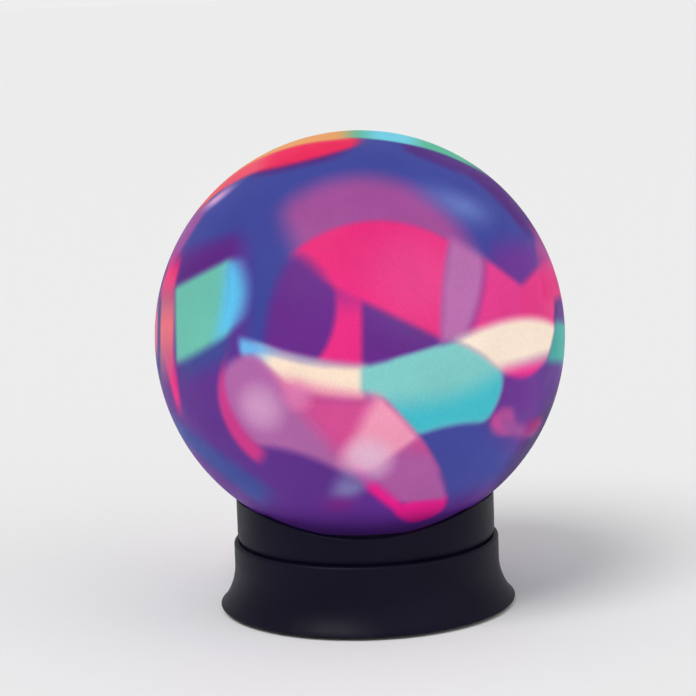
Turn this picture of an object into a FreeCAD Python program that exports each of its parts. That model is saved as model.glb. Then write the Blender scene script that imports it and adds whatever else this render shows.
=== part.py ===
"""Colour globe lamp: an opal globe on a round base, with a geared pattern dome over three coloured LEDs.

Millimetres and degrees. +Z is up and the front faces -Y.
The origin is the middle of the footprint, on the ground.
"""
import FreeCAD, Part
import math
import os

V = FreeCAD.Vector
UP = V(0, 0, 1)
ORIGIN = V(0, 0, 0)

# Globe
globe_radius = 100.0
globe_wall = 2.5
mouth_radius = 42.0
collar_wall = 2.2
collar_lip = 2.5            # how far the collar reaches out over the inside of the mouth
collar_lip_height = 1.7
collar_depth = 5.4          # how far the collar drops into the socket

# Neck
neck_radius = 63.5
neck_wall = 2.4
neck_tuck = 1.0             # how far the wall draws in above the seam
tuck_height = 4.0
tuck_bulge = (0.75, 0.45)   # middle of the tuck's curve, as shares of its depth and its height
rim_gap = 0.5               # between the neck's rim and the globe
rim_level = 36.0            # length of the level part of the rim, front to back
rim_crest = 0.6             # height of that level part above the rim's outer edge
rim_roll_radius = 110.0     # curve by which the rim falls away to the front and the back
dish_thickness = 2.2
dish_rise = 1.2
socket_fit = 0.3
socket_wall = 2.5
socket_rise = 8.1           # socket's top above the seam
socket_depth = 6.4
seat_width = 3.4
seat_height = 2.6
seat_gap = 0.3
seat_offset = 0.3           # between the socket's bore and the ring

# Skirt
skirt_lift = 1.8
skirt_height = 32.1
skirt_wall = 2.5
shell_fit = 0.4             # between the neck's spigot and the skirt
foot_flare = 7.6            # how far the foot stands out past the straight wall
flare_height = 20.2
edge_round = 1.2
spigot_depth = 6.0
ledge_width = 8.4
ledge_thickness = 2.4
plate_boss_radius = 3.5
plate_boss_inset = 1.9      # bosses' middle inside the skirt's inner face
collar_boss_radius = 3.0
collar_boss_inset = 1.8     # bosses' middle inside the spigot's inner face
plate_boss_count = 4
collar_boss_count = 3

# Recess at the back for the socket and the button
recess_width = 36.0
recess_height = 14.4
recess_corner = 3.0
recess_depth = 4.4          # its floor behind the skirt's straight wall
recess_wall = 2.0
recess_foot = 4.9           # its lower edge above the skirt's edge
control_spread = 8.0        # socket and button, each side of the middle
control_rise = 11.8         # their axes above the skirt's edge

# Base plate and feet
plate_thickness = 2.2
plate_lift = 1.2            # plate above the skirt's edge
plate_fit = 0.5
pad_radius = 7.0
pad_inset = 18.0            # pads' middle inside the foot's edge
pad_count = 4
pad_fit = 0.15
pad_recess = 0.8
pad_edge = 1.0              # bevel of the pads' lower edge
vent_count = 12
vent_inner = 16.0
vent_length = 12.0
vent_width = 3.0

# Mechanism deck and centre post
deck_gap = 8.1              # between the deck and the inside of the neck's spigot
deck_thickness = 2.5
deck_height = 13.3          # deck's underside above the base plate
pillar_radius = 3.5
pillar_inset = 5.3          # pillars' middle inside the deck's edge
pillar_count = 4
post_flange_radius = 14.0
post_flange_thickness = 3.0
journal_radius = 8.0
post_radius = 7.5
post_bore = 4.5
post_spigot = 5.5
spigot_fit = 0.05
post_reach = 24.5           # from the flange to the heat sink
post_screw_place = 10.8
post_screw_count = 3
washer_radius = 12.0
washer_thickness = 1.0
clip_thickness = 1.0
clip_radius = 10.5
clip_groove = 1.0
clip_opening = 100.0        # degrees left open

# Drum: gear and pattern dome
gear_module = 1.0
drum_teeth = 60
pinion_teeth = 18
pressure_angle = 20.0
tooth_backlash = 0.16
gear_width = 5.0
hub_radius = 12.0
hub_height = 6.0
running_fit = 0.05
axial_play = 0.1
web_thickness = 2.0
gear_rim = 3.2              # solid rim under the teeth
lightening_count = 6
lightening_radius = 3.8
dome_radius = 28.5
dome_wall = 1.2
register_height = 2.5
register_fit = 0.1
register_width = 1.8
dome_centre_rise = 23.0     # middle of the dome's curve above the gear's face
leaf_size = (22.0, 9.0)     # windows: length and width
crescent_size = (18.0, 8.0)
bean_size = (15.0, 5.0)
top_leaf_size = (15.0, 7.0)
side_count = 4              # of each window round the side
top_count = 3
leaf_aim = (0.0, 24.0, 125.0)       # windows: turn and height of the first, and how it is tilted
crescent_aim = (45.0, 26.0, 60.0)
bean_aim = (12.0, -14.0, 8.0)
top_leaf_aim = (20.0, 64.0, 40.0)
crescent_hollow = 0.25      # inner curve of a crescent, as a share of its width
bean_bend = 0.25            # sag of a bean, as a share of its length
bean_end = 0.4              # bulge of a bean's round end, as a share of half its width

# Drive
motor_radius = 12.0
motor_height = 12.0
motor_rear_radius = 9.5
motor_rear_height = 2.0
motor_screw_spread = 8.5
shaft_radius = 1.5
shaft_fit = 0.05
shaft_depth = 5.5
shaft_hole = 3.0
pinion_overlap = 0.5        # pinion wider than the gear on each side
pinion_play = 0.02

# Lights
sink_radius = 20.0
sink_thickness = 2.5
fin_count = 16
fin_thickness = 1.2
fin_height = 5.0
fin_clearance = 1.0
led_board_radius = 20.0
board_thickness = 1.6
led_place = 8.0
led_size = 5.0
led_body = 1.2
lens_radius = 1.9
led_screw_place = 15.0
led_screw_count = 3

# Control board
control_width = 36.0
control_length = 24.0
control_edge = 4.0          # board's edge from the recess floor
standoff_height = 1.8
standoff_radius = 2.4
board_hole_inset = 3.0
jack_width = 9.0
jack_length = 14.0
jack_nose = 3.9
jack_nose_fit = 0.2
jack_bore = 3.15
jack_bore_depth = 9.0
jack_pin = 1.0
jack_pin_length = 8.0
switch_width = 7.0
switch_length = 8.0
plunger_width = 2.0
plunger_fit = 0.3
plunger_length = 6.5
plunger_pocket = 6.0
button_radius = 3.8
button_fit = 0.3
button_proud = 2.2
button_flange = 5.0
button_flange_thickness = 1.3
button_travel = 1.5
button_round = 0.6
chip_size = (6.0, 5.0, 1.6)  # width, length and height, as for the choke and the lead sockets
chip_place = (0.0, 7.5)      # its middle across the board, and its front edge behind the board's
choke_size = (5.4, 5.4, 3.2)
choke_place = (-10.3, 6.0)
storage_radius = 2.6
storage_height = 6.5
storage_place = (11.0, 8.5)
lead_radius = 1.2
lead_bend = 4.0
lead_socket = (6.0, 4.5, 4.6)
lead_spread = 9.0
lead_fit = 0.1
lead_straight = 5.0         # straight out of a socket
lead_shift = 4.0            # sideways, round the post
lead_swing = 15.0           # length over which it goes sideways

# Screws
screw_radius = 1.2
screw_pilot = 1.25
screw_clearance = 1.6
screw_head_radius = 2.3
screw_head_height = 1.7
screw_head_round = 0.5
screw_grip = 6.0            # length held in its boss
small_grip = 1.5            # length held in a board's post or a thin plate
tip_room = 1.0

# Heights and places that follow
seam = skirt_lift + skirt_height
socket_top = seam + socket_rise
socket_bore = mouth_radius + socket_fit
socket_outer = socket_bore + socket_wall
seat_outer = socket_bore + seat_offset + seat_width
globe_centre = socket_top + seat_height + seat_gap + math.sqrt(globe_radius ** 2 - seat_outer ** 2)
spigot_radius = neck_radius - neck_tuck
spigot_inner = spigot_radius - neck_wall
neck_inner = neck_radius - neck_wall
rim_edge = globe_centre - math.sqrt((globe_radius + rim_gap) ** 2 - neck_radius ** 2)
rim_peak = rim_edge + rim_crest
ledge_top = seam - spigot_depth
skirt_inner = spigot_radius + shell_fit
skirt_radius = skirt_inner + skirt_wall
foot_radius = skirt_radius + foot_flare
flare_radius = (flare_height ** 2 + foot_flare ** 2) / (2 * foot_flare)
flare_centre = skirt_radius + flare_radius
flare_top = skirt_lift + flare_height
plate_boss_place = skirt_inner - plate_boss_inset
collar_boss_place = spigot_inner - collar_boss_inset
recess_floor = skirt_radius - recess_depth
pad_place = foot_radius - pad_inset
deck_radius = spigot_inner - deck_gap
pillar_place = deck_radius - pillar_inset
plate_low = skirt_lift + plate_lift
plate_top = plate_low + plate_thickness
deck_low = plate_top + deck_height
deck_top = deck_low + deck_thickness
flange_top = deck_top + post_flange_thickness
hub_low = flange_top + washer_thickness + axial_play
gear_low = hub_low
gear_top = gear_low + gear_width
clip_low = hub_low + hub_height + axial_play
sink_low = flange_top + post_reach
sink_top = sink_low + sink_thickness
led_board_top = sink_top + board_thickness
dome_centre = gear_top + dome_centre_rise
pitch_radius = gear_module * drum_teeth / 2
pinion_pitch = gear_module * pinion_teeth / 2
drive_place = V(0, -(pitch_radius + pinion_pitch), 0)
control_height = skirt_lift + control_rise
control_low = plate_top + standoff_height
control_top = control_low + board_thickness
control_back = recess_floor - control_edge
control_front = control_back - control_length
panel_inside = recess_floor - recess_wall
jack_place = V(-control_spread, 0, control_height)
button_place = V(control_spread, 0, control_height)


def flared(offset, height):
    """Radius of the skirt's flare at a height, offset inwards by a wall."""
    drop = flare_top - height
    return flare_centre - math.sqrt((flare_radius + offset) ** 2 - drop ** 2)


# Building blocks
def turned(path):
    """Solid turned about Z from corners (r, z); four numbers end an arc that passes through the first two."""
    edges = []
    last = path[-1]
    for step in path:
        start = V(last[-2], 0, last[-1])
        end = V(step[-2], 0, step[-1])
        if len(step) == 4:
            edges.append(Part.Arc(start, V(step[0], 0, step[1]), end).toShape())
        else:
            edges.append(Part.makeLine(start, end))
        last = step
    return Part.Face(Part.Wire(edges)).revolve(ORIGIN, UP, 360)


def arc_about(centre_r, centre_z, radius, start, end):
    """Corner that ends an arc at end degrees about a centre in the half-section."""
    middle = math.radians((start + end) / 2)
    last = math.radians(end)
    return (centre_r + radius * math.cos(middle), centre_z + radius * math.sin(middle),
            centre_r + radius * math.cos(last), centre_z + radius * math.sin(last))


def rod(radius, low, high, place=ORIGIN):
    return Part.makeCylinder(radius, high - low, V(place.x, place.y, low))


def tube(outer, inner, low, high, place=ORIGIN):
    return rod(outer, low, high, place).cut(rod(inner, low, high, place))


def block(x_low, x_high, y_low, y_high, z_low, z_high):
    return Part.makeBox(x_high - x_low, y_high - y_low, z_high - z_low, V(x_low, y_low, z_low))


def bar_y(radius, y_low, y_high, place):
    """Round bar along Y, on the axis through place."""
    return Part.makeCylinder(radius, y_high - y_low, V(place.x, y_low, place.z), V(0, 1, 0))


def around(radius, count, first=0.0):
    """Places evenly spaced on a circle about Z."""
    angles = [math.radians(first + 360.0 * k / count) for k in range(count)]
    return [V(radius * math.cos(a), radius * math.sin(a), 0) for a in angles]


def outline(points):
    """Closed wire through corners (x, y); a corner with four numbers ends an arc through its first two."""
    edges = []
    last = points[-1]
    for step in points:
        start = V(last[-2], last[-1], 0)
        end = V(step[-2], step[-1], 0)
        if len(step) == 4:
            edges.append(Part.Arc(start, V(step[0], step[1], 0), end).toShape())
        else:
            edges.append(Part.makeLine(start, end))
        last = step
    return Part.Wire(edges)


def pan_screw(place, seat, grip_end, downwards):
    """Pan-head screw whose head rests on seat; its shank runs from there to grip_end."""
    way = 1 if downwards else -1
    top = seat + way * screw_head_height
    head = turned([(0, seat), (screw_head_radius, seat), (screw_head_radius, top - way * screw_head_round),
                   (screw_head_radius - screw_head_round, top), (0, top)])
    shank = rod(screw_radius, min(seat, grip_end), max(seat, grip_end))
    screw = head.fuse(shank).removeSplitter()
    screw.translate(place)
    return screw


plate_bosses = around(plate_boss_place, plate_boss_count, 45)
collar_bosses = around(collar_boss_place, collar_boss_count, 30)
pillars = around(pillar_place, pillar_count, 45)
post_screw_places = around(post_screw_place, post_screw_count, 30)
led_screw_places = around(led_screw_place, led_screw_count, 30)
pad_places = around(pad_place, pad_count)
motor_screw_places = [drive_place + V(side * motor_screw_spread, 0, 0) for side in (-1, 1)]
board_hole_places = [V(x * (control_width / 2 - board_hole_inset), y, 0)
                     for x in (-1, 1)
                     for y in (control_front + board_hole_inset, control_back - board_hole_inset)]


# Globe
def opal_globe():
    ball = Part.makeSphere(globe_radius, V(0, 0, globe_centre))
    hollow = Part.makeSphere(globe_radius - globe_wall, V(0, 0, globe_centre))
    mouth = rod(mouth_radius, globe_centre - globe_radius - globe_wall, globe_centre - globe_radius / 2)
    return ball.cut(hollow).cut(mouth)


def globe_collar():
    """Spigot ring bonded in the globe's mouth, with a lip over the inside of the wall."""
    inside = globe_radius - globe_wall
    lip_radius = mouth_radius + collar_lip
    lip_low = globe_centre - math.sqrt(globe_radius ** 2 - mouth_radius ** 2)
    lip_top = globe_centre - math.sqrt(inside ** 2 - lip_radius ** 2) + collar_lip_height
    bore = mouth_radius - collar_wall
    ring = turned([(bore, socket_top - collar_depth), (mouth_radius, socket_top - collar_depth),
                   (mouth_radius, lip_low), (lip_radius, lip_low), (lip_radius, lip_top), (bore, lip_top)])
    outside_of_hollow = Part.makeSphere(globe_radius * 2, V(0, 0, globe_centre)).cut(
        Part.makeSphere(inside, V(0, 0, globe_centre)))
    below_lip = tube(lip_radius * 2, mouth_radius, lip_low - globe_wall, lip_top + globe_wall)
    return ring.cut(outside_of_hollow.common(below_lip))


# Neck
def arched_block():
    """Everything below the line of the rim: level at the middle, rolling down to the front and the back."""
    half = rim_level / 2
    reach = half + (neck_radius - half + neck_wall)
    end_angle = math.asin((reach - half) / rim_roll_radius)
    low = ledge_top - spigot_depth
    middle = end_angle / 2
    edge_z = rim_peak - rim_roll_radius * (1 - math.cos(end_angle))
    middle_y = half + rim_roll_radius * math.sin(middle)
    middle_z = rim_peak - rim_roll_radius * (1 - math.cos(middle))
    side = outline([(-reach, low), (reach, low), (reach, edge_z), (middle_y, middle_z, half, rim_peak),
                    (-half, rim_peak), (-middle_y, middle_z, -reach, edge_z)])
    solid = Part.Face(side).extrude(V(0, 0, 2 * reach))
    solid.rotate(ORIGIN, V(1, 0, 0), 90)
    solid.rotate(ORIGIN, UP, 90)
    solid.translate(V(-reach, 0, 0))
    return solid


def neck_collar():
    """Upper shell: arched rim, dish under the globe, socket for the globe's collar, spigot into the skirt."""
    dish_edge = socket_top + dish_rise
    tuck_top = seam + tuck_height
    tuck_middle = (spigot_radius + tuck_bulge[0] * neck_tuck, seam + tuck_bulge[1] * tuck_height)
    above_rim = rim_peak + neck_wall
    shell = turned([
        (spigot_radius, ledge_top), (spigot_radius, seam), (*tuck_middle, neck_radius, tuck_top),
        (neck_radius, above_rim), (neck_inner, above_rim), (neck_inner, dish_edge),
        (seat_outer + socket_fit, socket_top), (socket_bore, socket_top),
        (socket_bore, socket_top - socket_depth), (socket_outer, socket_top - socket_depth),
        (socket_outer, socket_top - dish_thickness), (spigot_inner, dish_edge - dish_thickness),
        (spigot_inner, ledge_top)])
    shell = shell.cut(Part.makeSphere(globe_radius + rim_gap, V(0, 0, globe_centre)))
    shell = shell.common(arched_block())
    in_wall = spigot_inner + neck_wall / 2
    in_dish = dish_thickness / 2
    under_dish = turned([(0, ledge_top), (in_wall, ledge_top), (in_wall, dish_edge - in_dish),
                         (socket_outer, socket_top - in_dish), (0, socket_top - in_dish)])
    for place in collar_bosses:
        shell = shell.fuse(rod(collar_boss_radius, ledge_top, dish_edge, place).common(under_dish))
    for place in collar_bosses:
        shell = shell.cut(rod(screw_pilot, ledge_top, ledge_top + screw_grip + tip_room, place))
    return shell.removeSplitter()


def seat_ring():
    """Rubber ring on the socket's edge, its top sloped to the globe."""
    inner = seat_outer - seat_width

    def under_globe(radius):
        return globe_centre - math.sqrt(globe_radius ** 2 - radius ** 2) - seat_gap

    return turned([(inner, socket_top), (seat_outer, socket_top), (seat_outer, under_globe(seat_outer)),
                   (inner, under_globe(inner))])


# Skirt
def skirt_solid():
    """The skirt's outside as a full solid."""
    half_drop = skirt_lift + flare_height / 2
    shoulder = seam - edge_round
    return turned([(0, skirt_lift), (foot_radius, skirt_lift),
                   (flared(0, half_drop), half_drop, skirt_radius, flare_top), (skirt_radius, shoulder),
                   arc_about(skirt_radius - edge_round, shoulder, edge_round, 0, 90), (0, seam)])


def skirt_hollow():
    """The space inside the skirt, with the ledge that carries the neck standing into it."""
    half_drop = skirt_lift + flare_height / 2
    ledge = skirt_inner - ledge_width
    ledge_low = ledge_top - ledge_thickness
    return turned([(0, skirt_lift), (flared(skirt_wall, skirt_lift), skirt_lift),
                   (flared(skirt_wall, half_drop), half_drop, skirt_inner, flare_top),
                   (skirt_inner, ledge_low), (ledge, ledge_low), (ledge, ledge_top),
                   (skirt_inner, ledge_top), (skirt_inner, seam), (0, seam)])


def rounded_slab(width, height, corner, y_low, y_high, low):
    """Block with rounded edges along Y, centred on X and standing at height low."""
    x = width / 2
    z = low + height
    bend = corner * (1 - math.sqrt(0.5))
    face = Part.Face(outline([
        (x - corner, low), (x - bend, low + bend, x, low + corner),
        (x, z - corner), (x - bend, z - bend, x - corner, z),
        (-x + corner, z), (-x + bend, z - bend, -x, z - corner),
        (-x, low + corner), (-x + bend, low + bend, -x + corner, low)]))
    slab = face.extrude(V(0, 0, y_high - y_low))
    slab.rotate(ORIGIN, V(1, 0, 0), 90)
    slab.translate(V(0, y_high, 0))
    return slab


def base_skirt():
    """Lower shell: straight above, flared below, with the ledge, plate bosses and the recess at the back."""
    outside = skirt_solid()
    shell = outside.cut(skirt_hollow())
    ledge_low = ledge_top - ledge_thickness
    for place in plate_bosses:
        shell = shell.fuse(rod(plate_boss_radius, plate_top, ledge_low, place).common(outside))
    recess_low = skirt_lift + recess_foot
    pan = rounded_slab(recess_width + 2 * recess_wall, recess_height + recess_wall, recess_corner,
                       panel_inside, foot_radius, recess_low - recess_wall / 2)
    shell = shell.fuse(pan.common(outside))
    pocket = rounded_slab(recess_width, recess_height, recess_corner,
                          recess_floor, foot_radius + skirt_wall, recess_low)
    shell = shell.cut(pocket)
    shell = shell.cut(bar_y(jack_nose + jack_nose_fit, panel_inside - 1, recess_floor + 1, jack_place))
    shell = shell.cut(bar_y(button_radius + button_fit, panel_inside - 1, recess_floor + 1, button_place))
    for place in plate_bosses:
        shell = shell.cut(rod(screw_pilot, plate_top, plate_top + screw_grip + tip_room, place))
    for place in collar_bosses:
        shell = shell.cut(rod(screw_clearance, ledge_low - 1, ledge_top + 1, place))
    return shell.removeSplitter()


# Base plate and what stands on the ground
def vent(angle):
    """Round-ended slot, radial, through the base plate."""
    half = vent_width / 2
    start = vent_inner + half
    end = vent_inner + vent_length - half
    shape = outline([(end, -half), (end + half, 0, end, half),
                     (start, half), (start - half, 0, start, -half)])
    slot = Part.Face(shape).extrude(V(0, 0, plate_thickness + 2))
    slot.translate(V(0, 0, plate_low - 1))
    slot.rotate(ORIGIN, UP, angle)
    return slot


def base_plate():
    """Bottom cover with the posts for the deck and the control board, the vents and the pads' recesses."""
    plate_radius = flared(skirt_wall, plate_top) - plate_fit
    plate = rod(plate_radius, plate_low, plate_top)
    for place in pillars:
        plate = plate.fuse(rod(pillar_radius, plate_top, deck_low, place))
    for place in board_hole_places:
        plate = plate.fuse(rod(standoff_radius, plate_top, control_low, place))
    for k in range(vent_count):
        plate = plate.cut(vent(360.0 * (k + 0.5) / vent_count))
    for place in plate_bosses:
        plate = plate.cut(rod(screw_clearance, plate_low - 1, plate_top + 1, place))
    for place in pad_places:
        plate = plate.cut(rod(pad_radius + pad_fit, plate_low - 1, plate_low + pad_recess, place))
    for place in pillars:
        plate = plate.cut(rod(screw_pilot, deck_low - screw_grip - tip_room, deck_low, place))
    for place in board_hole_places:
        plate = plate.cut(rod(screw_pilot, control_low - small_grip - tip_room / 2, control_low, place))
    return plate.removeSplitter()


def rubber_feet():
    top = plate_low + pad_recess
    pad = turned([(0, 0), (pad_radius - pad_edge, 0), (pad_radius, pad_edge), (pad_radius, top), (0, top)])
    return [pad.translated(place) for place in pad_places]


# Deck, post and what holds the drum
def mechanism_deck():
    deck = rod(deck_radius, deck_low, deck_top)
    holes = [rod(post_bore, deck_low - 1, deck_top + 1)]
    holes.append(rod(shaft_hole, deck_low - 1, deck_top + 1, drive_place))
    for place in pillars + post_screw_places + motor_screw_places:
        holes.append(rod(screw_clearance, deck_low - 1, deck_top + 1, place))
    for hole in holes:
        deck = deck.cut(hole)
    return deck


def centre_post():
    """Hollow post: flange on the deck, bearing for the drum, clip groove, and spigot for the heat sink."""
    groove_top = clip_low + clip_thickness
    post = turned([
        (post_bore, deck_top), (post_flange_radius, deck_top), (post_flange_radius, flange_top),
        (journal_radius, flange_top), (journal_radius, clip_low), (journal_radius - clip_groove, clip_low),
        (journal_radius - clip_groove, groove_top), (post_radius, groove_top), (post_radius, sink_low),
        (post_spigot, sink_low), (post_spigot, sink_top), (post_bore, sink_top)])
    for place in post_screw_places:
        post = post.cut(rod(screw_pilot, deck_top, flange_top - tip_room / 2, place))
    return post


def thrust_washer():
    return tube(washer_radius, journal_radius + running_fit, flange_top, flange_top + washer_thickness)


def retaining_clip():
    """Open ring in the post's groove, over the hub."""
    ring = tube(clip_radius, journal_radius - clip_groove, clip_low, clip_low + clip_thickness)
    half = math.radians(clip_opening / 2)
    far = 2 * clip_radius
    side = far * math.tan(half)
    gap = Part.Face(outline([(0, 0), (far, -side), (far, side)])).extrude(V(0, 0, clip_thickness + 2))
    gap.translate(V(0, 0, clip_low - 1))
    return ring.cut(gap)


# Gears
def gear_blank(teeth, low, high):
    """Spur gear body with involute flanks, one tooth centred on +X."""
    pitch = gear_module * teeth / 2
    base = pitch * math.cos(math.radians(pressure_angle))
    tip = pitch + gear_module
    root = pitch - 1.25 * gear_module
    start = max(base, root)
    half_tooth = math.pi / (2 * teeth) - tooth_backlash / (4 * pitch)

    def unwind(radius):
        roll = math.sqrt((radius / base) ** 2 - 1) if radius > base else 0.0
        return roll - math.atan(roll)

    def flank(radius, side, middle):
        turn = middle + side * (half_tooth + unwind(pitch) - unwind(radius))
        return (radius * math.cos(turn), radius * math.sin(turn))

    points = []
    for k in range(teeth):
        middle = 2 * math.pi * k / teeth
        start_turn = half_tooth + unwind(pitch) - unwind(start)
        low_side = middle - start_turn
        high_side = middle + start_turn
        gap_middle = middle - math.pi / teeth
        points.append((root * math.cos(gap_middle), root * math.sin(gap_middle),
                       root * math.cos(low_side), root * math.sin(low_side)))
        if start > root:
            points.append(flank(start, -1, middle))
        points.append(flank((start + tip) / 2, -1, middle) + flank(tip, -1, middle))
        points.append((tip * math.cos(middle), tip * math.sin(middle)) + flank(tip, 1, middle))
        points.append(flank((start + tip) / 2, 1, middle) + flank(start, 1, middle))
        if start > root:
            points.append((root * math.cos(high_side), root * math.sin(high_side)))
    blank = Part.Face(outline(points)).extrude(V(0, 0, high - low))
    blank.translate(V(0, 0, low))
    return blank


def drum_gear():
    """Ring of teeth on a holed web and a hub, with a register that centres the pattern dome."""
    toward_pinion = math.degrees(math.atan2(drive_place.y, drive_place.x))
    root = pitch_radius - 1.25 * gear_module
    rim_inner = min(root - gear_rim, dome_radius - dome_wall - register_fit - register_width)
    register_outer = dome_radius - dome_wall - register_fit
    web_low = gear_low + (gear_width - web_thickness) / 2
    wheel = gear_blank(drum_teeth, gear_low, gear_top)
    wheel.rotate(ORIGIN, UP, toward_pinion)
    wheel = wheel.cut(tube(rim_inner, hub_radius, gear_low - 1, web_low))
    wheel = wheel.cut(tube(rim_inner, hub_radius, web_low + web_thickness, gear_top + 1))
    wheel = wheel.fuse(rod(hub_radius, gear_low, hub_low + hub_height))
    wheel = wheel.fuse(tube(register_outer, register_outer - register_width, gear_top - 1,
                            gear_top + register_height))
    wheel = wheel.cut(rod(journal_radius + running_fit, gear_low - 1, hub_low + hub_height + 1))
    for place in around((hub_radius + rim_inner) / 2, lightening_count):
        wheel = wheel.cut(rod(lightening_radius, gear_low - 1, gear_top + 1, place))
    return wheel.removeSplitter()


def drive_pinion():
    toward_drum = math.degrees(math.atan2(-drive_place.y, -drive_place.x))
    pinion = gear_blank(pinion_teeth, gear_low - pinion_overlap, gear_top + pinion_overlap)
    pinion.rotate(ORIGIN, UP, toward_drum + 180.0 / pinion_teeth)
    pinion.translate(drive_place)
    bore = rod(shaft_radius + pinion_play, gear_low - gear_width, gear_top + gear_width, drive_place)
    return pinion.cut(bore)


# Pattern dome
def leaf(length, width):
    return outline([(width / 2, 0, 0, length / 2), (-width / 2, 0, 0, -length / 2)])


def crescent(length, width):
    return outline([(width, 0, 0, length / 2), (width * crescent_hollow, 0, 0, -length / 2)])


def bean(length, width):
    """Curved slot with round ends."""
    half = length / 2
    end = width / 2
    sag = length * bean_bend
    tip = half + end * bean_end
    return outline([(0, sag - end - end / 2, half - end, -sag - end), (tip, -sag, half - end, -sag + end),
                    (0, sag + end + end / 2, -half + end, -sag + end), (-tip, -sag, -half + end, -sag - end)])


def window(shape, turn, height, tilt):
    """Cutter through the dome's wall, looking out from its middle at turn and height, in degrees."""
    cutter = Part.Face(shape).extrude(V(0, 0, dome_radius))
    cutter.translate(V(0, 0, dome_radius / 2))
    cutter.rotate(ORIGIN, UP, tilt)
    cutter.rotate(ORIGIN, V(0, 1, 0), 90 - height)
    cutter.rotate(ORIGIN, UP, turn)
    cutter.translate(V(0, 0, dome_centre))
    return cutter


def pattern_dome():
    """Thin dome with curved windows that throws the light shapes on the globe as it turns."""
    inner = dome_radius - dome_wall
    shell = turned([(inner, gear_top), (dome_radius, gear_top), (dome_radius, dome_centre),
                    arc_about(0, dome_centre, dome_radius, 0, 90), (0, dome_centre + inner),
                    arc_about(0, dome_centre, inner, 90, 0)])
    windows = [(leaf(*leaf_size), leaf_aim, side_count), (crescent(*crescent_size), crescent_aim, side_count),
               (bean(*bean_size), bean_aim, side_count), (leaf(*top_leaf_size), top_leaf_aim, top_count)]
    for shape, (first, height, tilt), count in windows:
        for k in range(count):
            shell = shell.cut(window(shape, first + 360.0 * k / count, height, tilt))
    return shell.removeSplitter()


# Drive
def drive_motor():
    """Flat gear motor under the deck, with a bearing bore for its shaft."""
    top = deck_low
    low = top - motor_height
    can = turned([(0, low), (motor_rear_radius, low), (motor_rear_radius, low + motor_rear_height),
                  (motor_radius, low + motor_rear_height), (motor_radius, top), (0, top)])
    can.translate(drive_place)
    can = can.cut(rod(shaft_radius + shaft_fit, top - shaft_depth - axial_play, top, drive_place))
    for place in motor_screw_places:
        can = can.cut(rod(screw_pilot, top - small_grip - tip_room, top, place))
    return can


def motor_shaft():
    return rod(shaft_radius, deck_low - shaft_depth, gear_top + pinion_overlap, drive_place)


# Lights
def heat_sink():
    """Aluminium disc with radial fins, on the post's spigot."""
    disc = rod(sink_radius, sink_low, sink_top)
    start = post_radius + fin_clearance
    for k in range(fin_count):
        fin = block(start, sink_radius - fin_clearance, -fin_thickness / 2, fin_thickness / 2,
                    sink_low - fin_height, sink_low)
        fin.rotate(ORIGIN, UP, 360.0 * k / fin_count)
        disc = disc.fuse(fin)
    disc = disc.cut(rod(post_spigot + spigot_fit, sink_low - 1, sink_top + 1))
    for place in led_screw_places:
        disc = disc.cut(rod(screw_pilot, sink_top - small_grip - tip_room / 2, sink_top, place))
    return disc


def led_board():
    board = rod(led_board_radius, sink_top, led_board_top)
    for place in led_screw_places:
        board = board.cut(rod(screw_clearance, sink_top - 1, led_board_top + 1, place))
    return board


def led(turn):
    """Square LED package with a domed lens, facing up."""
    half = led_size / 2
    body_top = led_board_top + led_body
    package = block(led_place - half, led_place + half, -half, half, led_board_top, body_top)
    lens = Part.makeSphere(lens_radius, V(led_place, 0, body_top), UP, 0, 90, 360)
    light = package.fuse(lens)
    light.rotate(ORIGIN, UP, turn)
    return light


# Control board
def control_board():
    half = control_width / 2
    board = block(-half, half, control_front, control_back, control_low, control_top)
    for place in board_hole_places:
        board = board.cut(rod(screw_clearance, control_low - 1, control_top + 1, place))
    return board


def lead_places():
    """Mouths of the two lead sockets, for the LED lead and the motor lead."""
    return [V(side * lead_spread / 2, control_front, control_top + lead_socket[2] / 2) for side in (1, -1)]


def on_board(size, middle, back):
    """Block on the control board: its middle across it, and how far back its front edge lies."""
    width, length, height = size
    half = width / 2
    front = control_front + back
    return block(middle - half, middle + half, front, front + length, control_top, control_top + height)


def lead_sockets():
    return [on_board(lead_socket, place.x, 0) for place in lead_places()]


def board_parts():
    """Driver chip, choke and capacitor on the control board."""
    storage_middle = V(storage_place[0], control_front + storage_place[1], 0)
    storage = rod(storage_radius, control_top, control_top + storage_height, storage_middle)
    return [on_board(chip_size, *chip_place), on_board(choke_size, *choke_place), storage]


def dc_jack():
    """Barrel jack: body on the board, nose through the recess panel, centre pin in its bore."""
    half = jack_width / 2
    body = block(jack_place.x - half, jack_place.x + half, panel_inside - jack_length, panel_inside,
                 control_top, control_height + half)
    jack = body.fuse(bar_y(jack_nose, panel_inside - 1, recess_floor, jack_place))
    jack = jack.cut(bar_y(jack_bore, recess_floor - jack_bore_depth, recess_floor, jack_place))
    bore_end = recess_floor - jack_bore_depth
    jack = jack.fuse(bar_y(jack_pin, bore_end - 1, bore_end + jack_pin_length, jack_place))
    return jack.removeSplitter()


button_back = panel_inside - button_fit - button_flange_thickness
switch_front = button_back - (plunger_length - button_travel - 2 * plunger_fit) / 2


def power_switch():
    """Switch body on the board, open at the front for its plunger."""
    half = switch_width / 2
    body = block(button_place.x - half, button_place.x + half, switch_front - switch_length, switch_front,
                 control_top, control_height + half)
    gap = plunger_width / 2 + plunger_fit
    pocket = block(button_place.x - gap, button_place.x + gap, switch_front - plunger_pocket, switch_front,
                   control_height - gap, control_height + gap)
    return body.cut(pocket)


def switch_plunger():
    half = plunger_width / 2
    return block(button_place.x - half, button_place.x + half, button_back - plunger_length, button_back,
                 control_height - half, control_height + half)


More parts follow.
